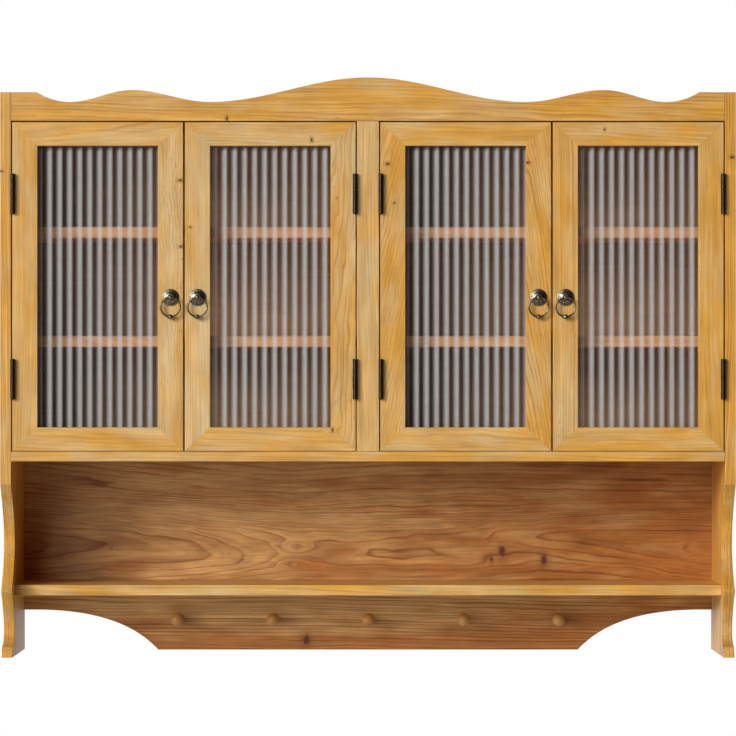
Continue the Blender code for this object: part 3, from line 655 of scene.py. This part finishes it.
def mirrored(half):
    """A half outline that starts on the centre line, with its mirror image ahead of it."""
    return [(-x, z) for x, z in reversed(half)] + half[1:]


# Pieces

def new_object(name, mesh):
    data = bpy.data.meshes.new(name)
    mesh.to_mesh(data)
    mesh.free()
    item = bpy.data.objects.new(name, data)
    SCENE.collection.objects.link(item)
    return item


def combine(item, mesh, operation="DIFFERENCE"):
    """Cut a helper mesh out of a piece, or join it on."""
    helper = new_object("helper", mesh)
    step = item.modifiers.new("combine", "BOOLEAN")
    step.operation = operation
    step.object = helper
    graph = bpy.context.evaluated_depsgraph_get()
    changed = bpy.data.meshes.new_from_object(item.evaluated_get(graph), depsgraph=graph)
    item.modifiers.remove(step)
    old = item.data
    item.data = changed
    bpy.data.meshes.remove(old)
    bpy.data.objects.remove(helper)


def dress(item, material, body, nodes=(), crease=CREASE):
    """Shade a finished piece, give it its material, and tie it to its body and its nodes."""
    item.data.materials.clear()
    item.data.materials.append(material)
    item.data.shade_smooth()
    item.data.set_sharp_from_angle(angle=math.radians(crease))
    even = item.modifiers.new("even", "WEIGHTED_NORMAL")
    even.keep_sharp = True
    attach(item, body)
    if nodes:
        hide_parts(*nodes)


def store(item, name, kind, values):
    """Keep a value for each point of a piece, under a name that its material reads."""
    layer = item.data.attributes.new(name, kind, "POINT")
    field = {"FLOAT_VECTOR": "vector", "FLOAT_COLOR": "color", "FLOAT": "value"}[kind]
    layer.data.foreach_set(field, np.ravel(values))


def points_of(item):
    points = np.empty(len(item.data.vertices) * 3)
    item.data.vertices.foreach_get("co", points)
    return points.reshape(-1, 3)


def lay_grain(
    item, along, face, tone=0.5, figure=0.7, curl=0.1, fleck=0.4, pith=None, lean=(0, 0), drift=(0, 0)
):
    """Store where each point of a board lay in its trunk, and the character of the board.

    Its trunk can lean across the board and out of its face, and its tone can drift, by as much to
    either end and to either edge.
    """
    chance = random.Random(item.name)
    slide = chance.uniform(0.0, 40.0)
    if pith is None:
        slant = math.radians(chance.uniform(25, 75)) * chance.choice((-1, 1))
        depth = chance.uniform(0.05, 0.11)
        pith = (depth * math.sin(slant), depth * math.cos(slant))
    points = points_of(item)
    axes = np.array((along, np.cross(face, along), face))
    middle = (points.min(axis=0) + points.max(axis=0)) / 2
    local = (points - middle) @ axes.T
    trunk = local + np.array((slide, *pith))
    trunk[:, 1:] += np.outer(local[:, 0], lean)
    store(item, "grain", "FLOAT_VECTOR", trunk)
    looks = np.tile((tone, figure, curl, fleck), (len(points), 1))
    looks[:, 0] += (local / local.max(axis=0))[:, :2] @ np.array(drift)
    store(item, "board", "FLOAT_COLOR", looks)


def mortises(door, face, into):
    """Shallow seats for a door's hinge leaves, cut into a face towards +X or -X."""
    seats = []
    for level in LEVELS:
        low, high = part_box("door_%d_%s_hinge_fixed_leaf" % (door, level))
        start = (face - into * PAST, FRONT - PAST, low.z - FIT)
        end = (face + into * MORTISE_DEPTH, FRONT + LEAF_WIDTH + 2 * FIT, high.z + FIT)
        seats.append((start, end))
    return seats


def housing(node, stop=0.0, lift=0.0):
    """The room that a housed board needs in the board that holds it."""
    low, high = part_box(node)
    return low + Vector((-FIT, stop - FIT, lift - FIT)), high + Vector((FIT, PAST, FIT))


# Carcass

def make_board(node, pine, shape, grain, looks, cuts=(), arris=SMALL_ARRIS):
    """A board by its outline and run, with eased edges, less some meshes that are cut out of it."""
    item = new_object(node + "-board", solid(*shape, arris))
    for cut in cuts:
        combine(item, cut)
    dress(item, pine, "cabinet", [node])
    lay_grain(item, *grain, **looks)


def side_outline():
    setbacks = bezier((0.0, COVE_START_HEIGHT), UPPER_COVE_HANDLES, CREST, COVE_STEPS)
    setbacks += bezier(CREST, LOWER_COVE_HANDLES, FOOT_CORNER, COVE_STEPS)[1:]
    setbacks.append((FOOT_SETBACK, 0.0))
    back = [(0.0, UNDERSIDE), (0.0, SIDE_HIGH.z), (FRONT, SIDE_HIGH.z)]
    return back + [(FRONT + setback, UNDERSIDE + height) for setback, height in setbacks]


def make_side(word, side, door, pine, looks):
    node = "side_panel_" + word
    low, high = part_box(node)
    shelves = [housing("top_panel")]
    shelves += [housing(name, HOUSING_STOP) for name in ("bottom_panel", "display_shelf")]
    shelves += [housing(name) for name in SHELF_NODES if word in name]
    backs = [housing(name) for name in ("upper_back_panel", "middle_back_board")]
    backs.append(housing("peg_rail", 0.0, ARCH_HEIGHT))
    cuts = [boxes(room) for room in (shelves, backs, mortises(door, side * INNER_FACE, side))]
    shape = (side_outline(), "X", low.x, high.x)
    looks = dict(pith=(side * 0.10, 0.35), **looks)
    make_board(node, pine, shape, (DOWN_Z, (side, 0, 0)), looks, cuts, arris=ARRIS)


def make_cornice(pine):
    low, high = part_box("cornice_board")
    corner = (INNER_FACE - CORNICE_END_FLAT, low.z + CORNICE_END_RISE)
    dip = (corner[0] - CORNICE_SCOOP_RUN, low.z + CORNICE_DIP_RISE)
    hump = (dip[0] - CORNICE_HUMP_RUN, low.z + CORNICE_HUMP_RISE)
    valley = (hump[0] - CORNICE_VALLEY_RUN, low.z + CORNICE_DIP_RISE)
    half = wave((0.0, high.z), valley, 2 * WAVE_STEPS)
    half += wave(valley, hump, WAVE_STEPS)[1:]
    half += wave(hump, dip, WAVE_STEPS)[1:]
    half += tangent_arc(dip, corner, WAVE_STEPS)[1:]
    half += [(high.x, corner[1]), (high.x, low.z)]
    shape = (mirrored(half), "Y", low.y, high.y)
    looks = dict(tone=0.18, figure=1.3, pith=(0.045, 0.035))
    make_board("cornice_board", pine, shape, ACROSS, looks, arris=ARRIS)


def make_plain_board(node, pine, grain, looks, cuts=()):
    low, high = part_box(node)
    make_board(node, pine, (rectangle(low, high), "Z", low.z, high.z), grain, looks, cuts)


def make_shouldered_board(node, pine, tone):
    """A board whose housed ends stop short of its front edge."""
    low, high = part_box(node)
    shoulder = INNER_FACE - FIT
    stop = low.y + HOUSING_STOP
    half = [(0.0, low.y), (shoulder, low.y), (shoulder, stop), (high.x, stop), (high.x, high.y)]
    half.append((0.0, high.y))
    shape = (mirrored(half)[:-1], "Z", low.z, high.z)
    looks = dict(tone=tone, figure=1.0, curl=0.05, pith=(0.12, 0.10))
    make_board(node, pine, shape, LEVEL, looks)


def make_hanging_rail(pine):
    """The rail that screws to the wall, through two countersunk holes."""
    low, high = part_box("hanging_rail")
    end = high.y - low.y + PAST
    hole = [(0.0, -PAST), (SINK_RADIUS + PAST, -PAST)]
    hole.append((HANGING_HOLE_RADIUS, SINK_RADIUS - HANGING_HOLE_RADIUS))
    hole += [(HANGING_HOLE_RADIUS, end), (0.0, end)]
    centres = [(side * HANGING_HOLE_PLACE, low.y, (low.z + high.z) / 2) for side in (-1, 1)]
    cuts = [turned(hole, HOLE_SIDES, centres)]
    make_plain_board("hanging_rail", pine, ACROSS, dict(tone=0.4), cuts)


def peg_places():
    """The x of each peg."""
    return [sum(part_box("peg_%d" % number), Vector()).x / 2 for number in range(1, 6)]


def make_peg_rail(pine):
    low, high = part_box("peg_rail")
    level = (INNER_FACE - ARCH_FLAT, low.z + ARCH_HEIGHT)
    corner = (level[0] - ARCH_RUN, low.z)
    arch = bezier(level, ARCH_HANDLES, corner, ARCH_STEPS)
    half = [(0.0, low.z)] + arch[::-1] + [(high.x, level[1]), (high.x, high.z)]
    hole = rod(PEG_TENON_RADIUS + FIT, -PAST, high.y - low.y + PAST)
    cuts = [turned(hole, PEG_SIDES, [(x, low.y, UNDERSIDE + PEG_HEIGHT) for x in peg_places()])]
    looks = dict(tone=0.86, figure=2.5, fleck=0.9, pith=(0.17, 0.02), drift=(-0.15, 0.85))
    shape = (mirrored(half), "Y", low.y, high.y)
    make_board("peg_rail", pine, shape, ACROSS, looks, cuts)


def make_pegs(pine):
    """Turned pegs: tenon, rounded shoulder, waisted neck and ball head."""
    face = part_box("peg_rail")[0].y
    inner = PEG_SHOULDER_RADIUS - PEG_EASE
    waist = PEG_SHOULDER_LENGTH + PEG_SHOULDER_RADIUS - PEG_NECK_RADIUS
    for number, x in enumerate(peg_places(), start=1):
        node = "peg_%d" % number
        low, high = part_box(node)
        profile = rod(PEG_TENON_RADIUS, face - high.y, FIT)[:-1]
        profile += [(inner, FIT), (PEG_SHOULDER_RADIUS, FIT + PEG_EASE)]
        profile += [(PEG_SHOULDER_RADIUS, PEG_SHOULDER_LENGTH - PEG_EASE), (inner, PEG_SHOULDER_LENGTH)]
        profile.append((PEG_NECK_RADIUS, waist))
        profile += ball(PEG_HEAD_RADIUS, face - low.y - PEG_HEAD_RADIUS, PEG_NECK_RADIUS, PEG_HEAD_STEPS)
        centre = (x, face, UNDERSIDE + PEG_HEIGHT)
        item = new_object(node + "-turned", turned(profile, PEG_SIDES, [centre], OUT_OF_FRONT))
        dress(item, pine, "cabinet", [node], PEG_CREASE)
        lay_grain(item, OUT_OF_FRONT, UP_Z, tone=0.4, figure=0.4)


def make_carcass(pine, back_pine, inner_pine, shelf_pine, rail_pine):
    make_side("left", -1, 1, pine, dict(tone=0.04, figure=1.7))
    make_side("right", 1, 4, pine, dict(tone=0.0, figure=2.4, drift=(0.2, 0.0)))
    make_cornice(pine)
    plain = dict(tone=0.40)
    make_plain_board("top_panel", pine, LEVEL, plain)
    make_shouldered_board("bottom_panel", pine, 0.26)
    make_shouldered_board("display_shelf", pine, 0.34)
    slots = boxes([housing(name) for name in SHELF_NODES])
    make_plain_board("centre_partition", pine, (DOWN_Z, ALONG_X), plain, [slots])
    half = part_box("centre_stile")[1].x
    seats = boxes(mortises(2, -half, 1) + mortises(3, half, -1))
    stile = dict(tone=0.58, figure=0.5, curl=0.0, fleck=0.2)
    make_plain_board("centre_stile", pine, UPRIGHT, stile, [seats])
    for node in SHELF_NODES:
        make_plain_board(node, shelf_pine, LEVEL, dict(figure=0.8))
    make_hanging_rail(pine)
    # The glazed bays' back, in pine darkened partly by painted shade
    make_plain_board("upper_back_panel", inner_pine, ACROSS, plain)
    low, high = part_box("middle_back_board")
    heart = (low.z + high.z) / 2 - (low.z + HEART_HEIGHT)
    looks = dict(tone=0.58, figure=1.4, curl=0.15, fleck=0.8, pith=(heart, 0.085), drift=(-0.4, 0.2))
    make_plain_board("middle_back_board", back_pine, ACROSS, looks)
    make_peg_rail(rail_pine)


# Doors

def mitred_member(name, edge, low, high, widths, section):
    """One side of a mitred frame round a rectangle in X and Z, cut along the corner lines.

    The section lists (inward, back) points; widths are those of the stiles and of the rails.
    """
    upright = edge in SIDES
    base = {"left": low.x, "right": high.x, "top": high.z, "bottom": low.z}[edge]
    sign = 1 if edge in ("left", "bottom") else -1
    middle = (low + high) / 2
    mesh = bmesh.new()
    if upright:
        outline = [(base + sign * inward, low.y + back) for inward, back in section]
        add_prism(mesh, outline, "Z", low.z - PAST, high.z + PAST)
        middle.x = base
    else:
        outline = [(low.y + back, base + sign * inward) for inward, back in section]
        add_prism(mesh, outline, "X", low.x - PAST, high.x + PAST)
        middle.z = base
    rims = []
    for x, inward_x in ((low.x, 1), (high.x, -1)):
        for z, inward_z in ((low.z, 1), (high.z, -1)):
            if base != (x if upright else z):
                continue
            normal = Vector((inward_z * widths[1], 0.0, -inward_x * widths[0])).normalized()
            corner = Vector((x, 0.0, z))
            if normal.dot(middle - corner) > 0:
                normal = -normal
            spot = corner - normal * MITRE_GAP / 2
            whole = mesh.verts[:] + mesh.edges[:] + mesh.faces[:]
            cut = bmesh.ops.bisect_plane(mesh, geom=whole, plane_co=spot, plane_no=normal, clear_outer=True)
            rim = [item for item in cut["geom_cut"] if isinstance(item, bmesh.types.BMEdge)]
            bmesh.ops.holes_fill(mesh, edges=rim, sides=0)
            rims += rim
    bmesh.ops.bevel(mesh, geom=rims, offset=MITRE_EASE, segments=1, affect="EDGES", clamp_overlap=True)
    bmesh.ops.recalc_face_normals(mesh, faces=mesh.faces)
    return new_object(name, mesh)


def frame_section(width, thickness):
    """Section of a door's stile or rail: eased front corners, and the rebate for the glass."""
    eased = fillet(rectangle((0.0, 0.0), (width, LIP_THICKNESS)), ARRIS)
    front = [point for point in eased if point[1] < LIP_THICKNESS / 2]
    wall = width - REBATE_WIDTH
    return front + [(width, LIP_THICKNESS), (wall, LIP_THICKNESS), (wall, thickness), (0.0, thickness)]


def make_door_frame(door, pine, looks):
    node = "door_%d_frame" % door
    low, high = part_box(node)
    hinge_edge = "left" if door in LEFT_HUNG else "right"
    for edge in EDGES:
        upright = edge in SIDES
        section = frame_section(STILE_WIDTH if upright else RAIL_WIDTH, high.y - low.y)
        name = "%s-%s_%s" % (node, edge, "stile" if upright else "rail")
        item = mitred_member(name, edge, low, high, (STILE_WIDTH, RAIL_WIDTH), section)
        if edge == hinge_edge:
            seats = mortises(door, low.x, 1) if edge == "left" else mortises(door, high.x, -1)
            combine(item, boxes(seats))
        dress(item, pine, "door_%d" % door, [node])
        lay_grain(item, *(UPRIGHT if upright else ACROSS), **looks[edge])


def make_glass(door, glass):
    node = "door_%d_glass" % door
    low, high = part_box(node)
    frame_low, frame_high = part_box("door_%d_frame" % door)
    window = frame_low.x + STILE_WIDTH
    pitch = (frame_high.x - STILE_WIDTH - window) / REED_COUNT
    count = math.ceil((high.x - low.x) / pitch) * REED_STEPS
    outline = []
    for step in range(count + 1):
        x = low.x + (high.x - low.x) * step / count
        turn = (x - window) / pitch - REED_SHIFT[door]
        outline.append((x, low.y + REED_RISE * (1 + math.cos(math.tau * turn)) / 2))
    outline += [(high.x, high.y), (low.x, high.y)]
    item = new_object(node + "-pane", solid(outline, "Z", low.z, high.z))
    dress(item, glass, "door_%d" % door, [node])
    points = points_of(item)
    store(item, "reed", "FLOAT", (points[:, 0] - window) / pitch - REED_SHIFT[door])
    # Distance below the top rail's sight edge, which the glass uses to paint the rail's shadow
    store(item, "below", "FLOAT", frame_high.z - RAIL_WIDTH - points[:, 2])


def make_glazing_beads(door, pine):
    """Four quarter-round strips that hold the pane in its rebate."""
    low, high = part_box("door_%d_frame" % door)
    inset = Vector((STILE_WIDTH - REBATE_WIDTH + FIT, 0.0, RAIL_WIDTH - REBATE_WIDTH + FIT))
    start = low + inset
    start.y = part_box("door_%d_glass" % door)[1].y + FIT
    depth = high.y - start.y
    section = [(0.0, 0.0), (BEAD_WIDTH, 0.0), (BEAD_WIDTH, depth * BEAD_WALL)]
    for step in range(1, BEAD_STEPS + 1):
        angle = math.pi / 2 * step / BEAD_STEPS
        inward = BEAD_FLAT + (1 - BEAD_FLAT) * math.cos(angle)
        back = BEAD_WALL + (1 - BEAD_WALL) * math.sin(angle)
        section.append((BEAD_WIDTH * inward, depth * back))
    section.append((0.0, depth))
    for edge in EDGES:
        name = "door_%d_glazing_bead-%s" % (door, edge)
        item = mitred_member(name, edge, start, high - inset, (BEAD_WIDTH, BEAD_WIDTH), section)
        dress(item, pine, "door_%d" % door)
        lay_grain(item, *(UPRIGHT if edge in SIDES else ACROSS))


# Hinges

def add_screw(mesh, centre, out):
    """A slotted screw: a low dome split by its slot, over a full disc."""
    add_lathe(mesh, rod(SCREW_RADIUS, -SCREW_RADIUS * SCREW_SINK, 0.0), SCREW_SIDES, centre, out)
    turn = turn_to(out)
    start = math.asin(SCREW_SLOT)
    angles = [start + (math.pi - 2 * start) * step / SCREW_STEPS for step in range(SCREW_STEPS + 1)]
    reach = SCREW_RADIUS * SCREW_DOME
    for side in (-1, 1):
        lift = Vector((0.0, side * SCREW_RADIUS * SLOT_FLARE, SCREW_RADIUS * SCREW_RISE))
        ring = [Vector((reach * math.cos(angle), side * reach * math.sin(angle), 0.0)) for angle in angles]
        lower = [mesh.verts.new(Vector(centre) + turn @ spot) for spot in ring]
        upper = [mesh.verts.new(Vector(centre) + turn @ (spot * SCREW_TAPER + lift)) for spot in ring]
        bridge(mesh, lower, upper)


def make_hinge_leaf(door, level, kind, metal):
    """A leaf with its knuckles: the outer ones and the pin on the carcass, the inner ones on the door."""
    node = "door_%d_%s_hinge_%s_leaf" % (door, level, kind)
    fixed = kind == "fixed"
    reach = 1 if door in LEFT_HUNG else -1
    axis_x, axis_y, _ = JOINTS["door_%d_swing" % door]["pos_m"]
    axis = (axis_x, axis_y, 0.0)
    low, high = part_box("door_%d_%s_hinge_fixed_leaf" % (door, level))
    height = high.z - low.z
    outer = axis_x - reach * (FIXED_LEAF_OFFSET if fixed else DOOR_LEAF_OFFSET)
    inner = outer + reach * LEAF_THICKNESS
    plate_front = FRONT + FIT
    plate_back = plate_front + LEAF_WIDTH
    tab = axis_y + (0.0 if fixed else PIN_RADIUS)
    hole = PIN_RADIUS + FIT
    eased = BARREL_RADIUS - KNUCKLE_EASE
    outline = [(plate_back, high.z), (plate_back, low.z), (plate_front, low.z)]
    barrel = bmesh.new()
    for index in range(0 if fixed else 1, KNUCKLES, 2):
        start = low.z + height / KNUCKLES * index + FIT
        end = low.z + height / KNUCKLES * (index + 1) - FIT
        outline += [(plate_front, start), (tab, start), (tab, end), (plate_front, end)]
        profile = [(hole, start), (eased, start), (BARREL_RADIUS, start + KNUCKLE_EASE)]
        profile += [(BARREL_RADIUS, end - KNUCKLE_EASE), (eased, end), (hole, end)]
        add_lathe(barrel, profile, BARREL_SIDES, axis, UP_Z, closed=True)
    outline.append((plate_front, high.z))
    item = new_object(node + "-metal", solid(outline, "X", outer, inner))
    combine(item, barrel, "UNION")
    extra = bmesh.new()
    extra.from_mesh(item.data)
    if fixed:
        add_lathe(extra, rod(PIN_RADIUS, low.z, high.z), BARREL_SIDES, axis, UP_Z)
    for rise, back in HINGE_SCREWS:
        spot = (inner if fixed else outer, plate_front + LEAF_WIDTH * back, low.z + height * rise)
        add_screw(extra, spot, (reach if fixed else -reach, 0, 0))
    extra.to_mesh(item.data)
    extra.free()
    dress(item, metal, "cabinet" if fixed else "door_%d" % door, [node], METAL_CREASE)


# Ring pulls

def make_pull_plate(door, metal):
    """Domed round rosette, and the drilled boss that carries the ring."""
    node = "door_%d_pull_plate" % door
    pivot = Vector(JOINTS["ring_%d_swing" % door]["pos_m"])
    profile = rod(SHANK_RADIUS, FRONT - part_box(node)[1].y, FIT)[:-1]
    profile += ROSETTE
    profile += ball(BOSS_RADIUS, FRONT - pivot.y, ROSETTE[-1][0], BOSS_STEPS)[1:]
    centre = (pivot.x, FRONT, pivot.z)
    item = new_object(node + "-metal", turned(profile, PULL_SIDES, [centre], OUT_OF_FRONT))
    eye = rod(EYE_RADIUS, -2 * BOSS_RADIUS, 2 * BOSS_RADIUS)
    combine(item, turned(eye, EYE_SIDES, [pivot], ALONG_X))
    dress(item, metal, "door_%d" % door, [node], METAL_CREASE)


def make_pull_ring(door, metal):
    """Round wire ring through the boss, with a collared bead at its lowest point."""
    node = "door_%d_pull_ring" % door
    drop = Vector((0.0, 0.0, RING_RADIUS))
    centre = Vector(JOINTS["ring_%d_swing" % door]["pos_m"]) - drop
    section = []
    for step in range(WIRE_SIDES):
        angle = math.tau * step / WIRE_SIDES
        section.append((RING_RADIUS + WIRE_RADIUS * math.cos(angle), WIRE_RADIUS * math.sin(angle)))
    mesh = bmesh.new()
    add_lathe(mesh, section, RING_STEPS, centre, OUT_OF_FRONT, closed=True)
    item = new_object(node + "-metal", mesh)
    profile = [(radius, -run) for radius, run in COLLAR]
    for step in range(1, 2 * BALL_STEPS):
        angle = BALL_SWEEP * (1 - step / BALL_STEPS)
        profile.append((BALL_RADIUS * math.cos(angle), -BALL_RADIUS * math.sin(angle)))
    profile += COLLAR[::-1]
    combine(item, turned(profile, BALL_SIDES, [centre - drop], ALONG_X), "UNION")
    dress(item, metal, "ring_%d" % door, [node], METAL_CREASE)


# Catches

def make_strike_plate(door, steel):
    node = "door_%d_strike_plate" % door
    low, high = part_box(node)
    outline = fillet(rectangle(low.xz, high.xz), PLATE_CORNER)
    mesh = solid(outline, "Y", low.y, high.y, PLATE_EASE)
    middle = (low + high) / 2
    add_screw(mesh, (middle.x, high.y - PLATE_SCREW_DEPTH, middle.z), (0, 1, 0))
    item = new_object(node + "-metal", mesh)
    dress(item, steel, "door_%d" % door, [node], METAL_CREASE)


def make_catch(word, plastic, steel):
    """Moulded body with a screw ear at each end, and two steel pole pieces at its front."""
    node = "magnetic_catch_" + word
    low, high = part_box(node)
    middle = (low.x + high.x) / 2
    half = (high.x - low.x) / 2
    shoulder = half - EAR_WIDTH
    ear = high.z - EAR_THICKNESS
    outline = [(shoulder, low.z), (shoulder, ear), (half, ear), (half, high.z)]
    outline += [(-x, z) for x, z in reversed(outline)]
    outline = [(middle + x, z) for x, z in outline]
    item = new_object(node + "-body", solid(outline, "Y", low.y + POLE_PROUD, high.y, CATCH_EASE))
    dress(item, plastic, "cabinet", [node], METAL_CREASE)
    metal = bmesh.new()
    for side in (-1, 1):
        start, end = sorted((middle + side * POLE_START, middle + side * (shoulder - POLE_MARGIN)))
        for share in POLE_PLACES:
            z = low.z + (high.z - low.z) * share
            add_box(metal, (start, low.y, z), (end, low.y + POLE_DEPTH, z + POLE_THICKNESS))
        add_screw(metal, (middle + side * (half - EAR_WIDTH / 2), (low.y + high.y) / 2, ear), DOWN_Z)
    poles = new_object(node + "-poles_and_screws", metal)
    dress(poles, steel, "cabinet", (), METAL_CREASE)


# Stage

def add_soft_light(name, bearing, height, spread, strength):
    """A round area light, far enough away to fall evenly on the whole object."""
    middle = (cad_box[0] + cad_box[1]) / 2
    turn = math.radians(bearing)
    lift = math.radians(height)
    toward = Vector((-math.sin(turn) * math.cos(lift), -math.cos(turn) * math.cos(lift), math.sin(lift)))
    data = bpy.data.lights.new(name, "AREA")
    data.shape = "DISK"
    data.size = spread * LIGHT_DISTANCE
    data.energy = strength * (math.pi * LIGHT_DISTANCE) ** 2
    item = bpy.data.objects.new(name, data)
    SCENE.collection.objects.link(item)
    item.location = middle + toward * LIGHT_DISTANCE
    item.rotation_euler = (-toward).to_track_quat("-Z", "Y").to_euler()
    item.visible_camera = False


def make_world():
    """A white backdrop behind the object, which the camera sees all round, and a dim room before it."""
    graph = Graph(bpy.data.worlds.new("studio"))
    graph.tree.nodes.clear()
    depth = graph.split(graph.add("TexCoord").outputs["Generated"])["Y"]
    behind = graph.calc("GREATER_THAN", depth, 0.0)
    glow = graph.calc("MULTIPLY_ADD", behind, BACKDROP - AMBIENT, AMBIENT)
    room = graph.add("Background", {"Color": ROOM_TINT, "Strength": glow}).outputs[0]
    backdrop = graph.add("Background", {"Color": WHITE, "Strength": 1.0}).outputs[0]
    seen = graph.add("LightPath").outputs["Is Camera Ray"]
    mixed = graph.add("MixShader", {0: seen, 1: room, 2: backdrop}).outputs[0]
    graph.add("OutputWorld", {"Surface": mixed})
    SCENE.world = graph.owner


def make_stage():
    for name, setting in LIGHTS.items():
        add_soft_light(name, *setting)
    make_world()
    half = FLOOR_WIDTH / 2
    top = UNDERSIDE - FLOOR_DROP
    floor = new_object("floor", boxes([((-half, -half, top - FLOOR_THICKNESS), (half, half, top))]))
    floor.data.materials.append(make_plain("floor", *FLOOR_TONES, 0.6, 0.02))


def make_camera():
    data = bpy.data.cameras.new("camera")
    item = bpy.data.objects.new("camera", data)
    SCENE.collection.objects.link(item)
    width = cad_box[1].x - cad_box[0].x
    rise = (FOOT_PIXEL - HORIZON_PIXEL) * width / PICTURE_PIXELS
    item.location = (0.0, FRONT - CAMERA_DISTANCE, UNDERSIDE + rise)
    item.rotation_euler = (math.pi / 2, 0.0, 0.0)
    data.sensor_fit = "HORIZONTAL"
    data.sensor_width = SENSOR_WIDTH
    data.lens = SENSOR_WIDTH * CAMERA_DISTANCE / width
    data.shift_y = (HORIZON_PIXEL - PICTURE_PIXELS / 2) / PICTURE_PIXELS
    data.clip_end = 100.0
    SCENE.camera = item
    SCENE.view_settings.view_transform = "Standard"


# Character of single boards

def knots_in(face, *knots):
    """Knots in a face at some y, each as (x, height above the foot, size, upright).

    Some also say how far rings part round them and how dark they are.
    """
    return [(x, face, UNDERSIDE + height, *rest) for x, height, *rest in knots]


BACK_KNOTS = knots_in(
    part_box("middle_back_board")[0].y,
    (0.227, 0.167, 0.0082, False, 0.3),
    (0.298, 0.152, 0.0082, False, 0.3),
    (0.209, 0.153, 0.0040, False, 0.3),
    (-0.120, 0.174, 0.0042, False, 1.0, 0.35),
    (-0.131, 0.145, 0.0036, False, 1.0, 0.35),
)
RAIL_KNOTS = knots_in(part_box("peg_rail")[0].y, (-0.104, 0.016, 0.0082, False, 0.3))
DOOR_KNOTS = knots_in(
    FRONT,
    (-0.092, 0.846, 0.0030, False),
    (-0.306, 0.780, 0.0030, True),
    (-0.305, 0.672, 0.0026, True),
    (-0.290, 0.704, 0.0020, True),
    (-0.058, 0.373, 0.0026, False),
    (0.032, 0.807, 0.0030, True),
    (0.043, 0.743, 0.0018, True),
    (0.260, 0.809, 0.0028, True),
    (0.386, 0.863, 0.0022, False),
)
CARCASS_KNOTS = knots_in(
    FRONT,
    (0.594, 0.818, 0.0032, True),
    (-0.5985, 0.795, 0.0025, True),
    (-0.230, 0.881, 0.0030, False),
)

# Paleness, strength of rings, curliness and flecks of each door's members, and how some of them lie
# in their trunk
DOOR_LOOKS = {
    1: {
        "left": dict(tone=0.32, figure=0.8),
        "right": dict(tone=0.50, figure=1.1, curl=0.45, fleck=0.9),
        "top": dict(tone=0.46, figure=0.6, curl=0.12),
        "bottom": dict(tone=0.40, figure=0.6, curl=0.15),
    },
    2: {
        "left": dict(tone=0.78, figure=0.6, curl=0.05, drift=(0.1, 0.15)),
        "right": dict(tone=0.52, figure=1.2, curl=0.3, fleck=1.0),
        "top": dict(tone=0.32, figure=0.6, curl=0.12),
        "bottom": dict(tone=0.42, figure=0.6, curl=0.12),
    },
    3: {
        "left": dict(tone=0.24, figure=1.3, curl=0.2, pith=(0.06, 0.06), lean=(0.10, 0.10)),
        "right": dict(tone=0.26, figure=1.9, fleck=0.9, pith=(0.06, 0.06), lean=(-0.11, -0.11)),
        "top": dict(tone=0.28, figure=0.6, curl=0.12),
        "bottom": dict(tone=0.54, figure=0.8, curl=0.3),
    },
    4: {
        "left": dict(tone=0.34, figure=1.5, fleck=1.0, drift=(0.15, 0.0)),
        "right": dict(tone=0.24, figure=0.9),
        "top": dict(tone=0.36, figure=0.8, curl=0.12),
        "bottom": dict(tone=0.22, curl=0.12),
    },
}


def main():
    make_camera()
    make_stage()
    amber = (216, 157, 63)
    pale = (217, 184, 131)
    line = (0.76, 0.55, 0.30, 1.0)
    carcass = make_pine("carcass_pine", amber, pale, line, 0.0046, CARCASS_KNOTS, fine=0.28)
    doors = make_pine("door_pine", amber, pale, line, 0.0042, DOOR_KNOTS)
    deep_line = (0.58, 0.38, 0.24, 1.0)
    brown = (172, 109, 48)
    russet = (166, 104, 45)
    tan = (206, 159, 98)
    # x of the bow, how far it brings the pith nearer for each metre, and how much darker the board gets for
    # each metre away from that x
    bow_and_dimming = (-0.125, 0.05, 0.35)
    crowds = ((0.018, 0.076, 5.0), (0.088, 0.150, -3.2))
    back = make_pine("back_pine", russet, tan, deep_line, 0.0052, BACK_KNOTS, bow_and_dimming, crowds, 0.35)
    rail = make_pine("rail_pine", brown, tan, deep_line, 0.0060, RAIL_KNOTS, (-0.05, 0.0, 1.4), fine=0.44)
    # Darker, greyer pine for the back of the glazed bays: partly the boards' own colour, partly painted
    # shade of the closed bays
    inner = make_pine("inner_pine", (160, 120, 76), (170, 136, 94), deep_line, 0.0052)
    pegs = make_pine("peg_pine", (176, 122, 62), (196, 145, 84), line, 0.0030)
    shelf = make_pine("shelf_pine", (226, 158, 98), (238, 186, 132), line, 0.0042)
    glass = make_reeded_glass()
    hinge = make_metal("hinge_bronze", (0.012, 0.010, 0.007, 1.0), (0.05, 0.04, 0.028, 1.0), 0.42, 0.003)
    pull = make_metal("pull_bronze", (0.095, 0.080, 0.056, 1.0), (0.46, 0.39, 0.26, 1.0), 0.35, 0.0026)
    wire = make_metal("ring_bronze", (0.060, 0.049, 0.030, 1.0), (0.42, 0.34, 0.21, 1.0), 0.30, 0.0026)
    steel = make_metal("strike_steel", (0.42, 0.42, 0.41, 1.0), (0.68, 0.68, 0.66, 1.0), 0.34, 0.002, 0.3)
    plastic = make_plain("catch_plastic", (0.05, 0.03, 0.018, 1.0), (0.09, 0.055, 0.032, 1.0), 0.5, 0.0006)
    make_carcass(carcass, back, inner, shelf, rail)
    make_pegs(pegs)
    for door in DOOR_NUMBERS:
        make_door_frame(door, doors, DOOR_LOOKS[door])
        make_glass(door, glass)
        make_glazing_beads(door, doors)
        for level in LEVELS:
            make_hinge_leaf(door, level, "fixed", hinge)
            make_hinge_leaf(door, level, "door", hinge)
        make_pull_plate(door, pull)
        make_pull_ring(door, wire)
        make_strike_plate(door, steel)
    for side in SIDES:
        make_catch(side, plastic, steel)


main()
